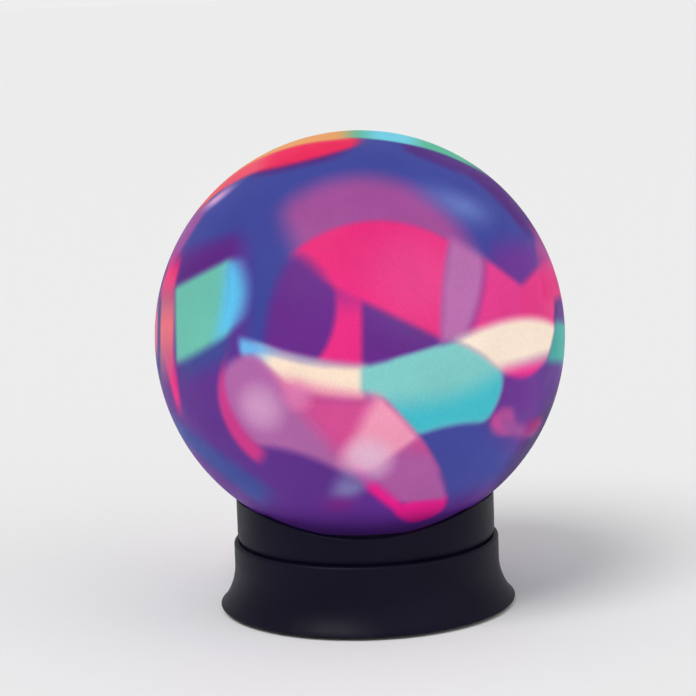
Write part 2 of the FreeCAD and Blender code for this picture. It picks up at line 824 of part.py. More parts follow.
def power_button():
    """Push button with a retaining flange behind the panel."""
    front = recess_floor + button_proud
    flange_front = panel_inside - button_fit
    button = turned([(0, button_back), (button_flange, button_back), (button_flange, flange_front),
                     (button_radius, flange_front), (button_radius, front - button_round),
                     (button_radius - button_round, front), (0, front)])
    button.rotate(ORIGIN, V(1, 0, 0), -90)
    button.translate(button_place)
    return button


# Leads
def lead(points):
    """Round lead along straight runs joined by tangent arcs."""
    edges = []
    start = points[0]
    for before, corner, after in zip(points, points[1:], points[2:]):
        come = (corner - before).normalize()
        leave = (after - corner).normalize()
        turn = come.getAngle(leave)
        cut = lead_bend * math.tan(turn / 2)
        first = corner - come * cut
        last = corner + leave * cut
        towards = (leave - come).normalize()
        centre = corner + towards * (lead_bend / math.cos(turn / 2))
        middle = centre - towards * lead_bend
        edges.append(Part.makeLine(start, first))
        edges.append(Part.Arc(first, middle, last).toShape())
        start = last
    edges.append(Part.makeLine(start, points[-1]))
    path = Part.Wire(edges)
    section = Part.Wire(Part.makeCircle(lead_radius, points[0], points[1] - points[0]))
    return path.makePipeShell([section], True, True)


def led_lead():
    socket = lead_places()[0]
    start = V(socket.x, socket.y - lead_fit, socket.z)
    return lead([start, V(start.x, start.y / 2, start.z), V(0, 0, start.z), V(0, 0, sink_top)])


def motor_lead():
    socket = lead_places()[1]
    start = V(socket.x, socket.y - lead_fit, socket.z)
    near_side = math.sqrt(motor_radius ** 2 - (abs(socket.x) - lead_radius) ** 2)
    end = V(socket.x, drive_place.y + near_side + lead_fit, socket.z)
    side = V(-lead_shift, 0, 0)
    out = V(0, lead_straight, 0)
    swing = V(0, lead_swing, 0) + side
    back_swing = V(0, -lead_swing, 0) + side
    return lead([start, start - out, start + back_swing, end + swing, end + out, end])


# Fasteners, each kind as one group
def base_screws():
    return [pan_screw(place, plate_low, plate_top + screw_grip, False) for place in plate_bosses]


def collar_screws():
    seat = ledge_top - ledge_thickness
    return [pan_screw(place, seat, ledge_top + screw_grip, False) for place in collar_bosses]


def deck_screws():
    return [pan_screw(place, deck_top, deck_low - screw_grip, True) for place in pillars]


def post_screws():
    return [pan_screw(place, deck_low, flange_top - tip_room, False) for place in post_screw_places]


def motor_screws():
    return [pan_screw(place, deck_top, deck_low - small_grip, True) for place in motor_screw_places]


def led_screws():
    return [pan_screw(place, led_board_top, sink_top - small_grip, True) for place in led_screw_places]


def board_screws():
    return [pan_screw(place, control_top, control_low - small_grip, True) for place in board_hole_places]


nodes = {
    "opal_globe": opal_globe(),
    "globe_collar": globe_collar(),
    "neck_collar": neck_collar(),
    "seat_ring": seat_ring(),
    "base_skirt": base_skirt(),
    "base_plate": base_plate(),
    "rubber_feet": rubber_feet(),
    "mechanism_deck": mechanism_deck(),
    "centre_post": centre_post(),
    "thrust_washer": thrust_washer(),
    "retaining_clip": retaining_clip(),
    "drum_gear": drum_gear(),
    "pattern_dome": pattern_dome(),
    "drive_pinion": drive_pinion(),
    "motor_shaft": motor_shaft(),
    "drive_motor": drive_motor(),
    "heat_sink": heat_sink(),
    "led_board": led_board(),
    "red_led": led(90),
    "green_led": led(210),
    "blue_led": led(330),
    "control_board": control_board(),
    "board_parts": board_parts(),
    "lead_sockets": lead_sockets(),
    "dc_jack": dc_jack(),
    "power_switch": power_switch(),
    "switch_plunger": switch_plunger(),
    "power_button": power_button(),
    "led_lead": led_lead(),
    "motor_lead": motor_lead(),
    "base_screws": base_screws(),
    "collar_screws": collar_screws(),
    "deck_screws": deck_screws(),
    "post_screws": post_screws(),
    "motor_screws": motor_screws(),
    "led_screws": led_screws(),
    "board_screws": board_screws(),
}

os.makedirs("parts", exist_ok=True)
for name, made in nodes.items():
    shape = Part.makeCompound(made) if isinstance(made, list) else made
    shape.exportStep(os.path.join("parts", name + ".step"))
    solids = shape.Solids
    print(f"{name:16s} solids {len(solids)} valid {shape.isValid()} volume {shape.Volume:10.1f} "
          f"z {shape.BoundBox.ZMin:7.2f} to {shape.BoundBox.ZMax:7.2f}")
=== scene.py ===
"""Colour globe lamp: a lit opal globe on a round dark base with a geared pattern dome inside.

Lengths are millimetres unless a line says otherwise; the frame is in metres. +Z is up and the front faces -Y.
"""
import math
import bmesh
import bpy
from mathutils import Matrix, Vector


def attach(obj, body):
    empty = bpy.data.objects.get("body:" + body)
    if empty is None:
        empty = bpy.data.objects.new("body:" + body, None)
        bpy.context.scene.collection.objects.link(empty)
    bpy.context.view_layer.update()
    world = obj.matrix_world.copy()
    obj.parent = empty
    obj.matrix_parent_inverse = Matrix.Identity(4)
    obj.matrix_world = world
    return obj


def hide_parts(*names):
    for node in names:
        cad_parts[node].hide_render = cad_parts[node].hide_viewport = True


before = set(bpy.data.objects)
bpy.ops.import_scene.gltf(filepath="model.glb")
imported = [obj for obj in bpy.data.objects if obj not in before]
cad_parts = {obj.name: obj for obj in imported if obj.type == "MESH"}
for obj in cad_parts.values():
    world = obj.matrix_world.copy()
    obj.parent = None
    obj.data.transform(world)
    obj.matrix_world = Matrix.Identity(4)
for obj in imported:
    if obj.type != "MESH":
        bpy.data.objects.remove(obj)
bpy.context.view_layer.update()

MM = 0.001
SHARP_EDGE = math.radians(35)
FINE_TURN = 256  # facets of a large round form


def around(radius, degrees):
    """Point on a circle about the lamp's axis."""
    angle = math.radians(degrees)
    return radius * math.cos(angle), radius * math.sin(angle), 0


# Globe and its collar
GLOBE_RADIUS = 100.0
GLOBE_WALL = 2.5
GLOBE_CENTRE = 133.692
MOUTH_RADIUS = 42.0
COLLAR_INSIDE = 39.8
COLLAR_FOOT = 36.6
COLLAR_TOP = 48.64
LIP_RADIUS = 44.5
LIP_ROOT = 45.75
LIP_EDGE = 46.93

# Skirt
SEAM = 33.9
SKIRT_FOOT = 1.8
SKIRT_RADIUS = 65.4
SKIRT_INSIDE = 62.9
SKIRT_WALL = 2.5
FLARE_CENTRE = 96.045
FLARE_RADIUS = 30.645
FLARE_TOP = 22.0
SHOULDER_ROLL = 1.7
TOE = 0.45
TOE_POINTS = ((1, 0), (0.3, 0.22), (0.12, 0.9))  # in from the foot and up from it, as parts of the toe
LEDGE_INSIDE = 54.5
LEDGE_LOW = 25.5
LEDGE_TOP = 27.9

# Neck
NECK_RADIUS = 63.5
NECK_WALL = 2.4
SPIGOT_RADIUS = 62.5
SPIGOT_INSIDE = 60.1
SEAM_GAP = 0.4
TUCK_DEPTH = 1.0
TUCK_HEIGHT = 4.0
TUCK_CURVE = 1.1
TUCK_STEPS = 6
SOCKET_TOP = 42.0
SOCKET_FOOT = 35.6
SOCKET_INSIDE = 42.3
SOCKET_OUTSIDE = 44.8
DISH_INSIDE = 46.3
DISH_EDGE = 43.2
DISH_CHAMFER = 0.8
DISH_UNDERSIDE = (39.8, 41.0)  # heights at the socket and at the wall
RIM_GAP = 0.5
RIM_PEAK = 56.39
RIM_LEVEL_HALF = 18.0
RIM_ROLL = 110.0
RIM_EDGE_ROUND = 0.5
RIM_DRAWN = 60.0  # height at which the rim is drawn before it is arched
RIM_DEPTH = 0.75  # how far down from its top the rim follows the arch

# Screws of the base
BOSS_BORE = 1.25
SCREW_HOLE = 1.6
SCREW_HOLE_SPAN = (24.0, 29.0)  # heights, through the skirt's ledge
NECK_SCREWS = [around(58.3, 30 + 120 * k) for k in range(3)]
PLATE_SCREWS = [around(61.0, 45 + 90 * k) for k in range(4)]

# Back panel
PANEL_FLOOR = 61.0
PANEL_WALL = 2.0
PANEL_HOLE = 4.1
RECESS_WIDTH = 36.0
RECESS_HEIGHT = 14.4
RECESS_CORNER = 3.0
RECESS_LOW = 6.7
RECESS_SIDE_WALL = 2.0
RECESS_END_WALL = 1.0
BOX_REACH = 73.0  # past the skirt, which trims the box
POCKET_REACH = 76.0
CONTROL_HEIGHT = 13.6
JACK_X = -8.0
BUTTON_X = 8.0
BUTTON_RADIUS = 3.8
BUTTON_FACE = 63.2
FLANGE_RADIUS = 4.8
FLANGE_BACK = 57.4
FLANGE_FACE = 58.7
FINGER_DISH = 2.7
FINGER_DISH_DEPTH = 0.28
FINGER_DISH_STEPS = 8

# Looks
SCREEN_GAMMA = 2.2
GLOW_SHARE = 0.66  # of the globe's pattern, given off as light
PAINTED_LIGHT_SHARE = 0.30  # of the globe's pattern of light, as its own colour: painted light
BACK_POLE = (0, 0.98769, -0.15643)
BACK_FADE = (-0.07, 0.42)  # along the back pole, where the front pattern gives way to the back one
LENS_SPAN = (53.8, 55.7)  # heights of a diode's lens
RUBBED_SPAN = (2.2, 5.0)  # heights over which rubbing at the foot fades out

# Stage
PALE = 0.86
SKY_STRENGTH = 0.55
FLOOR_RADIUS = 14  # metres
FLOOR_TONE = 0.80
CAMERA_LENS = 126.9225
CAMERA_PLACE = (0, -1.18506174, 0.32245559)
CAMERA_RIGHT = (0.9994669, -0.0003471, -0.0326466)
CAMERA_UP = (0.0322703, 0.1622550, 0.9862210)
CAMERA_BACK = (0.0049547, -0.9867488, 0.1621797)


# ---------------------------------------------------------------- shaders
class Value:
    """A socket of a node tree on which Python's operators lay Math nodes."""

    def __init__(self, graph, socket):
        self.graph = graph
        self.socket = socket

    def math(self, operation, *terms):
        return self.graph.node("ShaderNodeMath", {"operation": operation}, dict(enumerate(terms)))

    def __add__(self, other):
        return self.math("ADD", self, other)

    def __mul__(self, other):
        return self.math("MULTIPLY", self, other)

    def __pow__(self, other):
        return self.math("POWER", self, other)


class Finish:
    """One material and its node tree."""

    def __init__(self, name):
        self.material = bpy.data.materials.new(name)
        self.material.use_nodes = True
        self.tree = self.material.node_tree
        self.tree.nodes.clear()

    def node(self, kind, settings=None, inputs=None, output=0):
        made = self.tree.nodes.new(kind)
        for key, value in (settings or {}).items():
            setattr(made, key, value)
        for key, value in (inputs or {}).items():
            if isinstance(value, Value):
                self.tree.links.new(value.socket, made.inputs[key])
            else:
                made.inputs[key].default_value = value
        return Value(self, made.outputs[output]) if made.outputs else None

    # places
    def place(self):
        return self.node("ShaderNodeTexCoord", output="Object")

    def parts(self, vector):
        made = self.node("ShaderNodeSeparateXYZ", inputs={0: vector})
        return [Value(self, socket) for socket in made.socket.node.outputs]

    def scaled_up(self, vector, height):
        """Places with their height alone scaled."""
        return self.node("ShaderNodeMapping", inputs={"Vector": vector, "Scale": (1, 1, height)})

    def vector(self, operation, first, second, output=0):
        return self.node("ShaderNodeVectorMath", {"operation": operation}, {0: first, 1: second}, output)

    def scaled(self, vector, share):
        return self.node("ShaderNodeVectorMath", {"operation": "SCALE"}, {0: vector, "Scale": share})

    # patterns
    def noise(self, vector, scale, detail, roughness=0.5, distortion=0.0):
        return self.node("ShaderNodeTexNoise", inputs={"Vector": vector, "Scale": scale, "Detail": detail,
                                                       "Roughness": roughness, "Distortion": distortion})

    def cell_edges(self, vector, scale):
        return self.node("ShaderNodeTexVoronoi", {"feature": "DISTANCE_TO_EDGE"}, {"Vector": vector, "Scale": scale})

    def band(self, value, low, high, start=0.0, end=1.0):
        """Value carried softly from low..high to start..end and held there outside."""
        return self.node("ShaderNodeMapRange", {"interpolation_type": "SMOOTHSTEP"},
                         {"Value": value, "From Min": low, "From Max": high, "To Min": start, "To Max": end})

    def blend(self, start, end, factor):
        """Mix of two numbers."""
        return self.node("ShaderNodeMix", {"data_type": "FLOAT"}, {0: factor, 2: start, 3: end})

    def tint(self, start, end, factor):
        """Mix of two colours."""
        sides = [side if isinstance(side, Value) else (*side, 1) for side in (start, end)]
        return self.node("ShaderNodeMix", {"data_type": "RGBA"}, {0: factor, 6: sides[0], 7: sides[1]}, output=2)

    def bump(self, height, strength, distance):
        return self.node("ShaderNodeBump", inputs={"Height": height, "Strength": strength, "Distance": distance})

    def shader(self, **sockets):
        """Principled shader; socket names with underscores for spaces."""
        return self.node("ShaderNodeBsdfPrincipled",
                         inputs={name.replace("_", " "): value for name, value in sockets.items()})

    def done(self, shader):
        self.node("ShaderNodeOutputMaterial", inputs={"Surface": shader})
        return self.material

    def surface(self, **sockets):
        return self.done(self.shader(**sockets))


def screen(*levels):
    """Colour as it looks on a screen, 0..1, as the shader's own number."""
    return tuple(level ** SCREEN_GAMMA for level in levels)


# ---------------------------------------------------------------- light on the globe
# Each patch: its name, what it leaves of red, green and blue (None keeps what is there), and its soft-edged caps as
# azimuth from the front, elevation, radius and softness in degrees. Later patches lie on earlier ones.
AMBIENT = (0.37, 0.19, 0.545)
# Middles of the wide caps that cut straight across the view and keep what lies above, below, left or right.
UP, DOWN, LEFT, RIGHT = (168.8, 80.5), (-11.2, -80.5), (-90, 1.9), (90, -1.9)
BACK_LIGHT = [
    ("back blue", (0.25, 0.3, 0.61), [(176, 56, 64, 5.5)]),
    ("back blue low", (0.25, 0.29, 0.6), [(-136, -34, 36, 6.8)]),
    ("back blue side", (0.25, 0.29, 0.6), [(118, -34, 30, 6.8)]),
    ("back wedge", (0.34, 0.14, 0.48), [(126, 46, 26, 2.4), (150, 26, 32, 3.5)]),
    ("back lavender", (0.64, 0.335, 0.61), [(178, 26, 37, 4.2), (180, 72, 66, 4.2)]),
    ("back pink", (0.91, 0.19, 0.49), [(177, 18, 30, 1.6), (170, 88, 84, 1.6)]),
    ("back lens", (0.43, 0.175, 0.53), [(152, 8, 30, 1.9), (-164, 16, 28, 1.9), (-150, -86, 86, 2.4)]),
    ("back lavender band", (0.72, 0.43, 0.67), [(-150, 12, 16, 2.1), (-176, 22, 26, 1.9), (-40, 78, 96, 1.9)]),
    ("back side pink", (0.89, 0.24, 0.55), [(-128, 20, 26, 1.7), (-146, 4, 27, 1.7)]),
    ("back side pink 2", (0.9, 0.21, 0.51), [(96, 16, 26, 1.7), (112, -2, 29, 1.7)]),
    ("back side mauve", (0.62, 0.28, 0.57), [(96, 16, 26, 1.7), (112, -2, 29, 1.7), (84, 30, 22, 2.1)]),
    ("back cream", (0.99, 0.9, 0.81), [(-132, 2, 30, 1.6), (30, 84, 93, 1.6), (200, -82, 92, 1.6)]),
    ("back turquoise", (0.45, 0.78, 0.77), [(166, -10, 21, 1.6), (176, 16, 36, 1.6), (160, -76, 84, 1.6)]),
    ("back turquoise foot", (0.27, 0.74, 0.8), [(166, -10, 21, 1.6), (176, 16, 36, 1.6), (150, -78, 72, 5.5)]),
    ("back cream tip", (0.99, 0.89, 0.8), [(124, -4, 26, 1.6), (10, 84, 98, 1.6), (150, -80, 90, 1.6)]),
    ("back side teal", (0.25, 0.66, 0.62), [(92, -2, 18, 1.7), (124, -12, 26, 1.7)]),
    ("back leaf", (0.42, 0.75, 0.68), [(-104, 14, 18, 1.9), (-126, 4, 24, 1.9)]),
    ("back leaf edge", (0.37, 0.76, 0.94), [(-104, 14, 18, 1.9), (-126, 4, 24, 1.9), (-134, 18, 26, 2.1)]),
    ("back lilac rim", (0.9, 0.16, 0.52), [(-160, -30, 25, 1.9), (-134, -28, 26, 1.9)]),
    ("back lilac", (0.69, 0.4, 0.65), [(-160, -30, 24, 1.9), (-137, -24, 26, 1.9)]),
    ("back rose", (0.84, 0.31, 0.58), [(176, -34, 24, 1.6), (-160, -24, 24, 1.6)]),
    ("back bright", (0.95, 0.6, 0.72), [(-172, -30, 16, 2), (178, -42, 15, 2), (-160, -24, 24, 1.6)]),
    ("back low lilac", (0.68, 0.36, 0.63), [(168, -44, 20, 1.9), (-176, -40, 24, 1.9)]),
    ("back pink foot", (0.94, 0.12, 0.55), [(168, -44, 20, 1.6), (-176, -40, 24, 1.6), (0, -48, 118, 1.9)]),
    ("back pale spot", (0.91, 0.77, 0.88), [(-176, -38, 5.5, 6.2)]),
    ("back second spot", (0.86, 0.67, 0.81), [(-147, -28, 5, 6.8)]),
    ("back streak", (0.42, 0.5, 0.76), [(-158, 52, 9, 8.1), (-146, 44, 12, 8.1)]),
    ("back crescent", (0.92, 0.17, 0.32), [(-128, 52, 26, 2.1), (60, -46, 156, 2.6)]),
    ("back crescent mauve", (0.62, 0.3, 0.6), [(140, 58, 16, 2.9), (-24, -52, 166, 2.9)]),
    ("under the ball", (0.15, 0.09, 0.24), [(0, -90, 34, 17.2)]),
]
FRONT_LIGHT = [
    ("upper blue", (0.24, 0.27, 0.59), [(155.5, 65.1, 79.9, 4.2), (*UP, 80.8, 6.8)]),
    ("dark wedge left", (0.36, 0.14, 0.50), [(68.1, -66.5, 130.5, 4.8), (-91.4, 10.2, 52, 4.2),
        (-111.3, 66, 57, 4.2)]),
    ("purple under blue", (0.42, 0.21, 0.57), [(*RIGHT, 53.5, 5.5), (36.5, -78.5, 108.6, 5.5),
        (*LEFT, 147.2, 2.9)]),
    ("left blue column", (0.24, 0.27, 0.59), [(*DOWN, 120.2, 8.1), (-164.4, -7.5, 139.9, 3.2),
        (120.3, 71.8, 100.2, 3.5), (*RIGHT, 121.6, 4.8), (*LEFT, 76.7, 4.2)]),
    ("right under blue", (0.26, 0.28, 0.60), [(27.9, -44.4, 28.1, 2), (-83.1, -34.8, 105.2, 6.8),
        (-116.7, 70.1, 150.6, 6.8), (129.3, 39.1, 120.4, 1.9)]),
    ("right low dark", (0.24, 0.14, 0.40), [(83.7, -34.8, 21.6, 6.8)]),
    ("left under blue", (0.24, 0.29, 0.59), [(-77.2, -52.8, 34.2, 3.5), (-96.2, 34.4, 92.8, 4.2),
        (101.1, 48.8, 157.6, 3.5)]),
    ("middle disc", (0.40, 0.17, 0.53), [(5.6, 2.3, 37.9, 1.5), (-101, 3.5, 121.5, 2.9), (-4.6, 48.3, 47.6, 2.2),
        (25.9, 2, 51.3, 2.6)]),
    ("lavender arc", (0.62, 0.30, 0.58), [(1.5, 23.9, 32.5, 5.8), (-174, -0.4, 141.8, 1.6), (94.2, 22.8, 96, 4.8)]),
    ("under the crescent", (0.34, 0.13, 0.46), [(-99.8, 78.1, 26.9, 2.9), (-91.2, 8.9, 78.9, 5.5),
        (94.7, 25.2, 96.5, 4.2)]),
    ("limb crescent", (0.91, 0.12, 0.34), [(-90, 77.3, 22.4, 2), (-91.6, 11.5, 80.9, 2.9), (90.7, 2.6, 115.6, 2.9)]),
    ("limb crescent left", (0.92, 0.29, 0.40), [(-173, 52.2, 57.8, 1.9), (*LEFT, 63.7, 4.2)]),
    ("limb crescent orange", (0.91, 0.38, 0.38), [(149.5, -43.6, 145.9, 2.9), (-93.2, 20.5, 64.8, 6.8),
        (*UP, 52.9, 5.5)]),
    ("limb pale streak", (0.80, 0.60, 0.80), [(-101.7, 51.6, 24, 2.2), (78.3, -51.7, 161.3, 1.9),
        (*UP, 53.5, 3.5), (*DOWN, 134.2, 4.2)]),
    ("limb mauve", (0.58, 0.30, 0.60), [(-96, 33.6, 21.1, 1.9), (*DOWN, 126.9, 3.5),
        (*UP, 71.6, 4.2)]),
    ("limb outside", (0.27, 0.24, 0.52), [(-90.3, 3.4, 21.5, 1.5), (*DOWN, 109.6, 9.4),
        (*UP, 105.3, 9.4)]),
    ("limb pink upper", (0.92, 0.13, 0.47), [(-92.1, 14.5, 25.2, 1.6), (87, -19.3, 167.7, 1.6),
        (*DOWN, 111.2, 4.2), (*UP, 79, 4.2)]),
    ("limb pink lower", (0.91, 0.15, 0.52), [(-89, -4.6, 28.6, 1.6), (92.1, 10.9, 158.2, 1.6),
        (*DOWN, 84.4, 8.1), (*UP, 110.6, 4.2)]),
    ("limb salmon", (0.92, 0.44, 0.50), [(-90.2, 3.1, 29, 1.5), (89.8, -2.7, 162.2, 1.6),
        (*DOWN, 102.1, 10.7), (*UP, 97.8, 10.7)]),
    ("limb line", (0.84, 0.42, 0.54), [(-90.1, 2.4, 14, 1.2), (*DOWN, 98.4, 4.2), (*UP, 95.1, 4.2)]),
    ("mushroom", (0.91, 0.15, 0.47), [(5.8, 2.9, 37.3, 1.3), (-110.8, -2.3, 133.3, 2), (107.7, 61.3, 82.1, 1.5),
        (150.8, -8.9, 155.8, 2.9)]),
    ("mushroom glow", (None, 0.30, 0.56), [(17.6, 22.6, 11, 17.2)]),
    ("mushroom neck", (0.91, 0.18, 0.51), [(*DOWN, 101.5, 9.4), (*LEFT, 90.3, 1.3),
        (144.1, 78.5, 98.1, 1.9), (152.8, -15.5, 159.8, 1.3), (*RIGHT, 102.7, 1.6)]),
    ("lavender band", (0.72, 0.43, 0.67), [(-73.7, -59.1, 125.4, 2.6), (-15.9, 32.1, 49, 2.2),
        (-121.2, 72.6, 98.2, 1.6), (72.7, 0.3, 51.4, 2)]),
    ("right pink", (0.89, 0.24, 0.55), [(-77.7, -51.7, 128.2, 1.5), (*LEFT, 139.6, 1.1), (179.1, 80.7, 90.7, 2.2),
        (151, -32.3, 119.9, 2.2)]),
    ("right pink outer", (0.90, 0.22, 0.52), [(80.5, -46.1, 68.5, 1.5), (-80.4, 22.6, 138.5, 1.6),
        (*UP, 89.3, 2.2), (*RIGHT, 42.6, 1.1)]),
    ("right limb mauve", (0.62, 0.28, 0.57), [(90.6, 1.7, 31.3, 1.9), (*DOWN, 118.1, 4.2),
        (*UP, 70.8, 5.5)]),
    ("right limb start", (0.62, 0.16, 0.50), [(96.9, 34.9, 18.4, 1.9), (*DOWN, 125.2, 5.5),
        (*UP, 63.6, 4.2)]),
    ("right limb pink", (0.88, 0.15, 0.48), [(*DOWN, 108.9, 9.4), (*UP, 80.5, 2.2),
        (90.2, -0.5, 30.8, 2)]),
    ("right limb purple", (0.36, 0.16, 0.50), [(*DOWN, 99.8, 2.2), (*UP, 87, 2.2),
        (89.4, -5.4, 24.4, 1.3)]),
    ("right foot of pink", (0.93, 0.18, 0.56), [(16.4, -80.3, 79.8, 2.9), (17.8, 57.3, 70.5, 1.6),
        (51.9, 14.5, 21.6, 1.5), (96, 31.3, 64.7, 1.6)]),
    ("comma", (0.76, 0.30, 0.60), [(42.9, -21.1, 6.6, 2), (46.8, -12.3, 10.6, 2), (*LEFT, 135.8, 2.6),
        (*RIGHT, 54, 2.2)]),
    ("comma tail", (0.62, 0.30, 0.60), [(-106.9, -27.9, 127.4, 2.1), (-93.8, 23.4, 162.4, 4.2),
        (72.6, 41.3, 68.4, 1.9), (*RIGHT, 48.9, 2.2)]),
    ("comma end", (0.64, 0.11, 0.46), [(49.5, -75.9, 55.3, 2.2), (-111.5, 66.1, 138.9, 2.2), (*RIGHT, 38, 3.5),
        (-91.4, 9.9, 156.8, 2.9)]),
    ("under cyan", (0.25, 0.29, 0.57), [(58.8, -72.6, 103.7, 4.2), (-116.5, 70, 84.7, 4.2), (*RIGHT, 146.6, 2.9),
        (-89.4, -1.9, 53.1, 4.2)]),
    ("left cyan", (0.42, 0.75, 0.68), [(68.7, -65.8, 124.3, 1.7), (*LEFT, 53.2, 2), (-83.1, 51.8, 56.8, 1.9),
        (90.2, -0.5, 149.9, 1.5)]),
    ("left cyan edge", (0.37, 0.76, 0.94), [(61.6, -71.1, 120.9, 2), (-46.4, 17.4, 13, 3.7), (-104.4, 57, 70.1, 2),
        (104.1, -12.9, 146, 3.2)]),
    ("band left", (0.99, 0.89, 0.80), [(-173.4, -63.1, 118, 2), (*LEFT, 91.3, 1.6), (1.4, 41.1, 49.2, 1.5),
        (83, -37.8, 110.5, 2.6)]),
    ("band fringe", (0.64, 0.66, 0.78), [(-170.4, -65.9, 115.2, 1.6), (-94.5, 26.7, 85.1, 6.8),
        (9.3, 63.9, 64.1, 1.6), (90.4, 0.4, 120.4, 2.9)]),
    ("band tip", (0.42, 0.70, 0.92), [(-55.4, -59.5, 69.8, 1.5), (-105, 58, 80.9, 3.5), (-13, 28, 31, 1.5),
        (*RIGHT, 123.6, 1.6)]),
    ("turquoise start", (0.50, 0.80, 0.79), [(123.2, -77.9, 97.5, 1.3), (*LEFT, 111.1, 1.6),
        (116, 69.3, 104.8, 1.5), (*RIGHT, 89.9, 1.5)]),
    ("turquoise lobe", (0.50, 0.80, 0.79), [(123.2, -77.9, 97.5, 1.3), (13.5, -25.6, 33.6, 1.5),
        (23.5, -5.3, 17.1, 1.6), (-152.1, 46.4, 150.1, 1.7), (98.1, 39.5, 96.7, 1.5), (*RIGHT, 85, 1.5)]),
    ("turquoise foot", (0.27, 0.74, 0.80), [(-165.7, -43.1, 127.3, 4.8), (23.5, -5.3, 17.1, 1.6),
        (-152.1, 46.4, 150.1, 1.7), (98.1, 39.5, 96.7, 1.5)]),
    ("right cream", (1.00, 0.92, 0.84), [(44.7, -40.1, 49.5, 1.9), (-1, 36.1, 70.9, 1.6), (-125.8, 74.4, 108.7, 3.2),
        (-169.3, 27.6, 143.7, 1.5)]),
    ("right rim teal", (0.25, 0.66, 0.62), [(-59, -72.1, 106.7, 1.9), (145.3, 78.7, 93.2, 1.9),
        (-169, -33.1, 119.4, 1.6), (*RIGHT, 37.9, 1.6)]),
    ("left lobe", (0.69, 0.40, 0.65), [(-29.6, -8.4, 11.9, 2), (-81.1, -42.4, 66.1, 1.9), (151.3, 44.4, 157.7, 2.1),
        (-18.8, -9.8, 22.7, 1.7)]),
    ("left lobe band", (0.69, 0.40, 0.65), [(-80.9, -42.9, 66.2, 1.9), (150.3, 46.2, 155.6, 2.1),
        (91.8, 9.3, 127, 2.9), (-92.8, 18.3, 98.3, 5.5), (70.3, -64.3, 97.2, 2.2)]),
    ("left tail", (0.80, 0.22, 0.53), [(166.1, 3.2, 154.9, 1.9), (-95.9, 33.4, 85.2, 2.2), (-18.8, -9.8, 22.7, 1.7)]),
    ("strip of rose", (0.94, 0.50, 0.67), [(-57.5, -72.9, 74, 3.4), (174.1, 80.6, 106.1, 4.2),
        (98, 39.1, 115.2, 1.6)]),
    ("centre lobe", (0.84, 0.31, 0.58), [(-26.5, -79.6, 73.6, 3.2), (-44.6, -39.9, 54.9, 1.5),
        (*UP, 129.1, 2.2), (101.3, 49.3, 123.7, 1.6), (97.7, 38.2, 115.7, 3.7)]),
    ("pink rim of lobe", (0.94, 0.12, 0.55), [(-78.3, -50.3, 61.4, 1.6), (100.5, 47.3, 121.9, 1.6),
        (*LEFT, 101.3, 1.6), (88.5, -10.8, 85, 2.9)]),
    ("pink foot of lobe", (0.94, 0.12, 0.55), [(11.2, -80.5, 40, 1.6), (-91.2, 8.9, 120.2, 1.6),
        (23.1, -47.5, 7.8, 1.6), (101.1, 48.9, 123.9, 1.6)]),
    ("bright patch", (0.95, 0.60, 0.72), [(-44.6, -39.9, 54.9, 1.5), (-104.2, 56.7, 123.3, 2),
        (115.9, 69.2, 124.4, 4.2), (85.2, -28.4, 79.5, 2.9)]),
    ("right lobe", (0.68, 0.36, 0.63), [(76.1, -56.2, 57.3, 2), (-44.6, -39.9, 54.9, 1.5),
        (-167.3, 80.4, 142.5, 1.9), (100.3, 46.6, 118.1, 2.1)]),
    ("right lobe edge", (0.84, 0.28, 0.55), [(76.2, -56, 57.1, 2), (-44.6, -39.9, 54.9, 1.5),
        (*UP, 121.5, 4.2), (*RIGHT, 77.6, 4.2)]),
    ("pale spot", (0.91, 0.77, 0.88), [(0.9, -25.6, 5.2, 6.2)]),
    ("rose glow", (0.90, 0.52, 0.72), [(-17.1, -6.9, 3, 4.2)]),
    ("left pale spot", (0.86, 0.67, 0.81), [(-27.9, -10.4, 4.6, 6.8)]),
    ("low streak", (0.48, 0.45, 0.68), [(-49.8, -75.6, 49.5, 4.2), (-97.8, 40.4, 117.4, 2.9),
        (154.7, 79.7, 139.3, 3.5), (86.8, -20.5, 83.6, 2.9)]),
    ("low blush", (0.52, 0.15, 0.50), [(-18.6, -80.1, 40.6, 4.2), (-92.3, 15.2, 97.3, 5.5),
        (154.7, 79.7, 145.5, 5.5), (87.2, -18.3, 85, 5.5)]),
    ("top right purple", (0.31, 0.12, 0.47), [(172.2, -2.1, 104, 2.9), (*RIGHT, 78.1, 2.2),
        (-108, 62.3, 86.6, 4.2)]),
    ("top middle purple", (0.30, 0.15, 0.48), [(110.1, 64.1, 28.3, 2.4), (*RIGHT, 78.1, 2.2),
        (-91.5, 10.8, 110.7, 4.2)]),
    ("blue streak", (0.42, 0.50, 0.76), [(-69, -65.1, 140.2, 6.2), (-93.8, 23.4, 109.3, 6.8),
        (108.6, 62.4, 46.3, 6.2), (87, -19, 82.8, 9.4)]),
    ("top rim", (0.33, 0.70, 0.58), [(168.7, 47.9, 53.1, 1.5), (-91.8, 12.3, 116, 8.1), (*RIGHT, 122.4, 4.2)]),
    ("top rim warm", (0.90, 0.61, 0.36), [(174.1, 44.2, 58.2, 2.1), (-91.6, 11.2, 77.8, 4.2),
        (94.5, 24.3, 101.3, 5.5)]),
    ("top rim cyan", (0.42, 0.80, 0.90), [(168.7, 47.9, 53.1, 1.5), (*LEFT, 105.4, 4.2), (*RIGHT, 87.9, 4.2)]),
    ("under the ball", (0.15, 0.09, 0.24), [(0, -90, 34, 17.2)]),
]


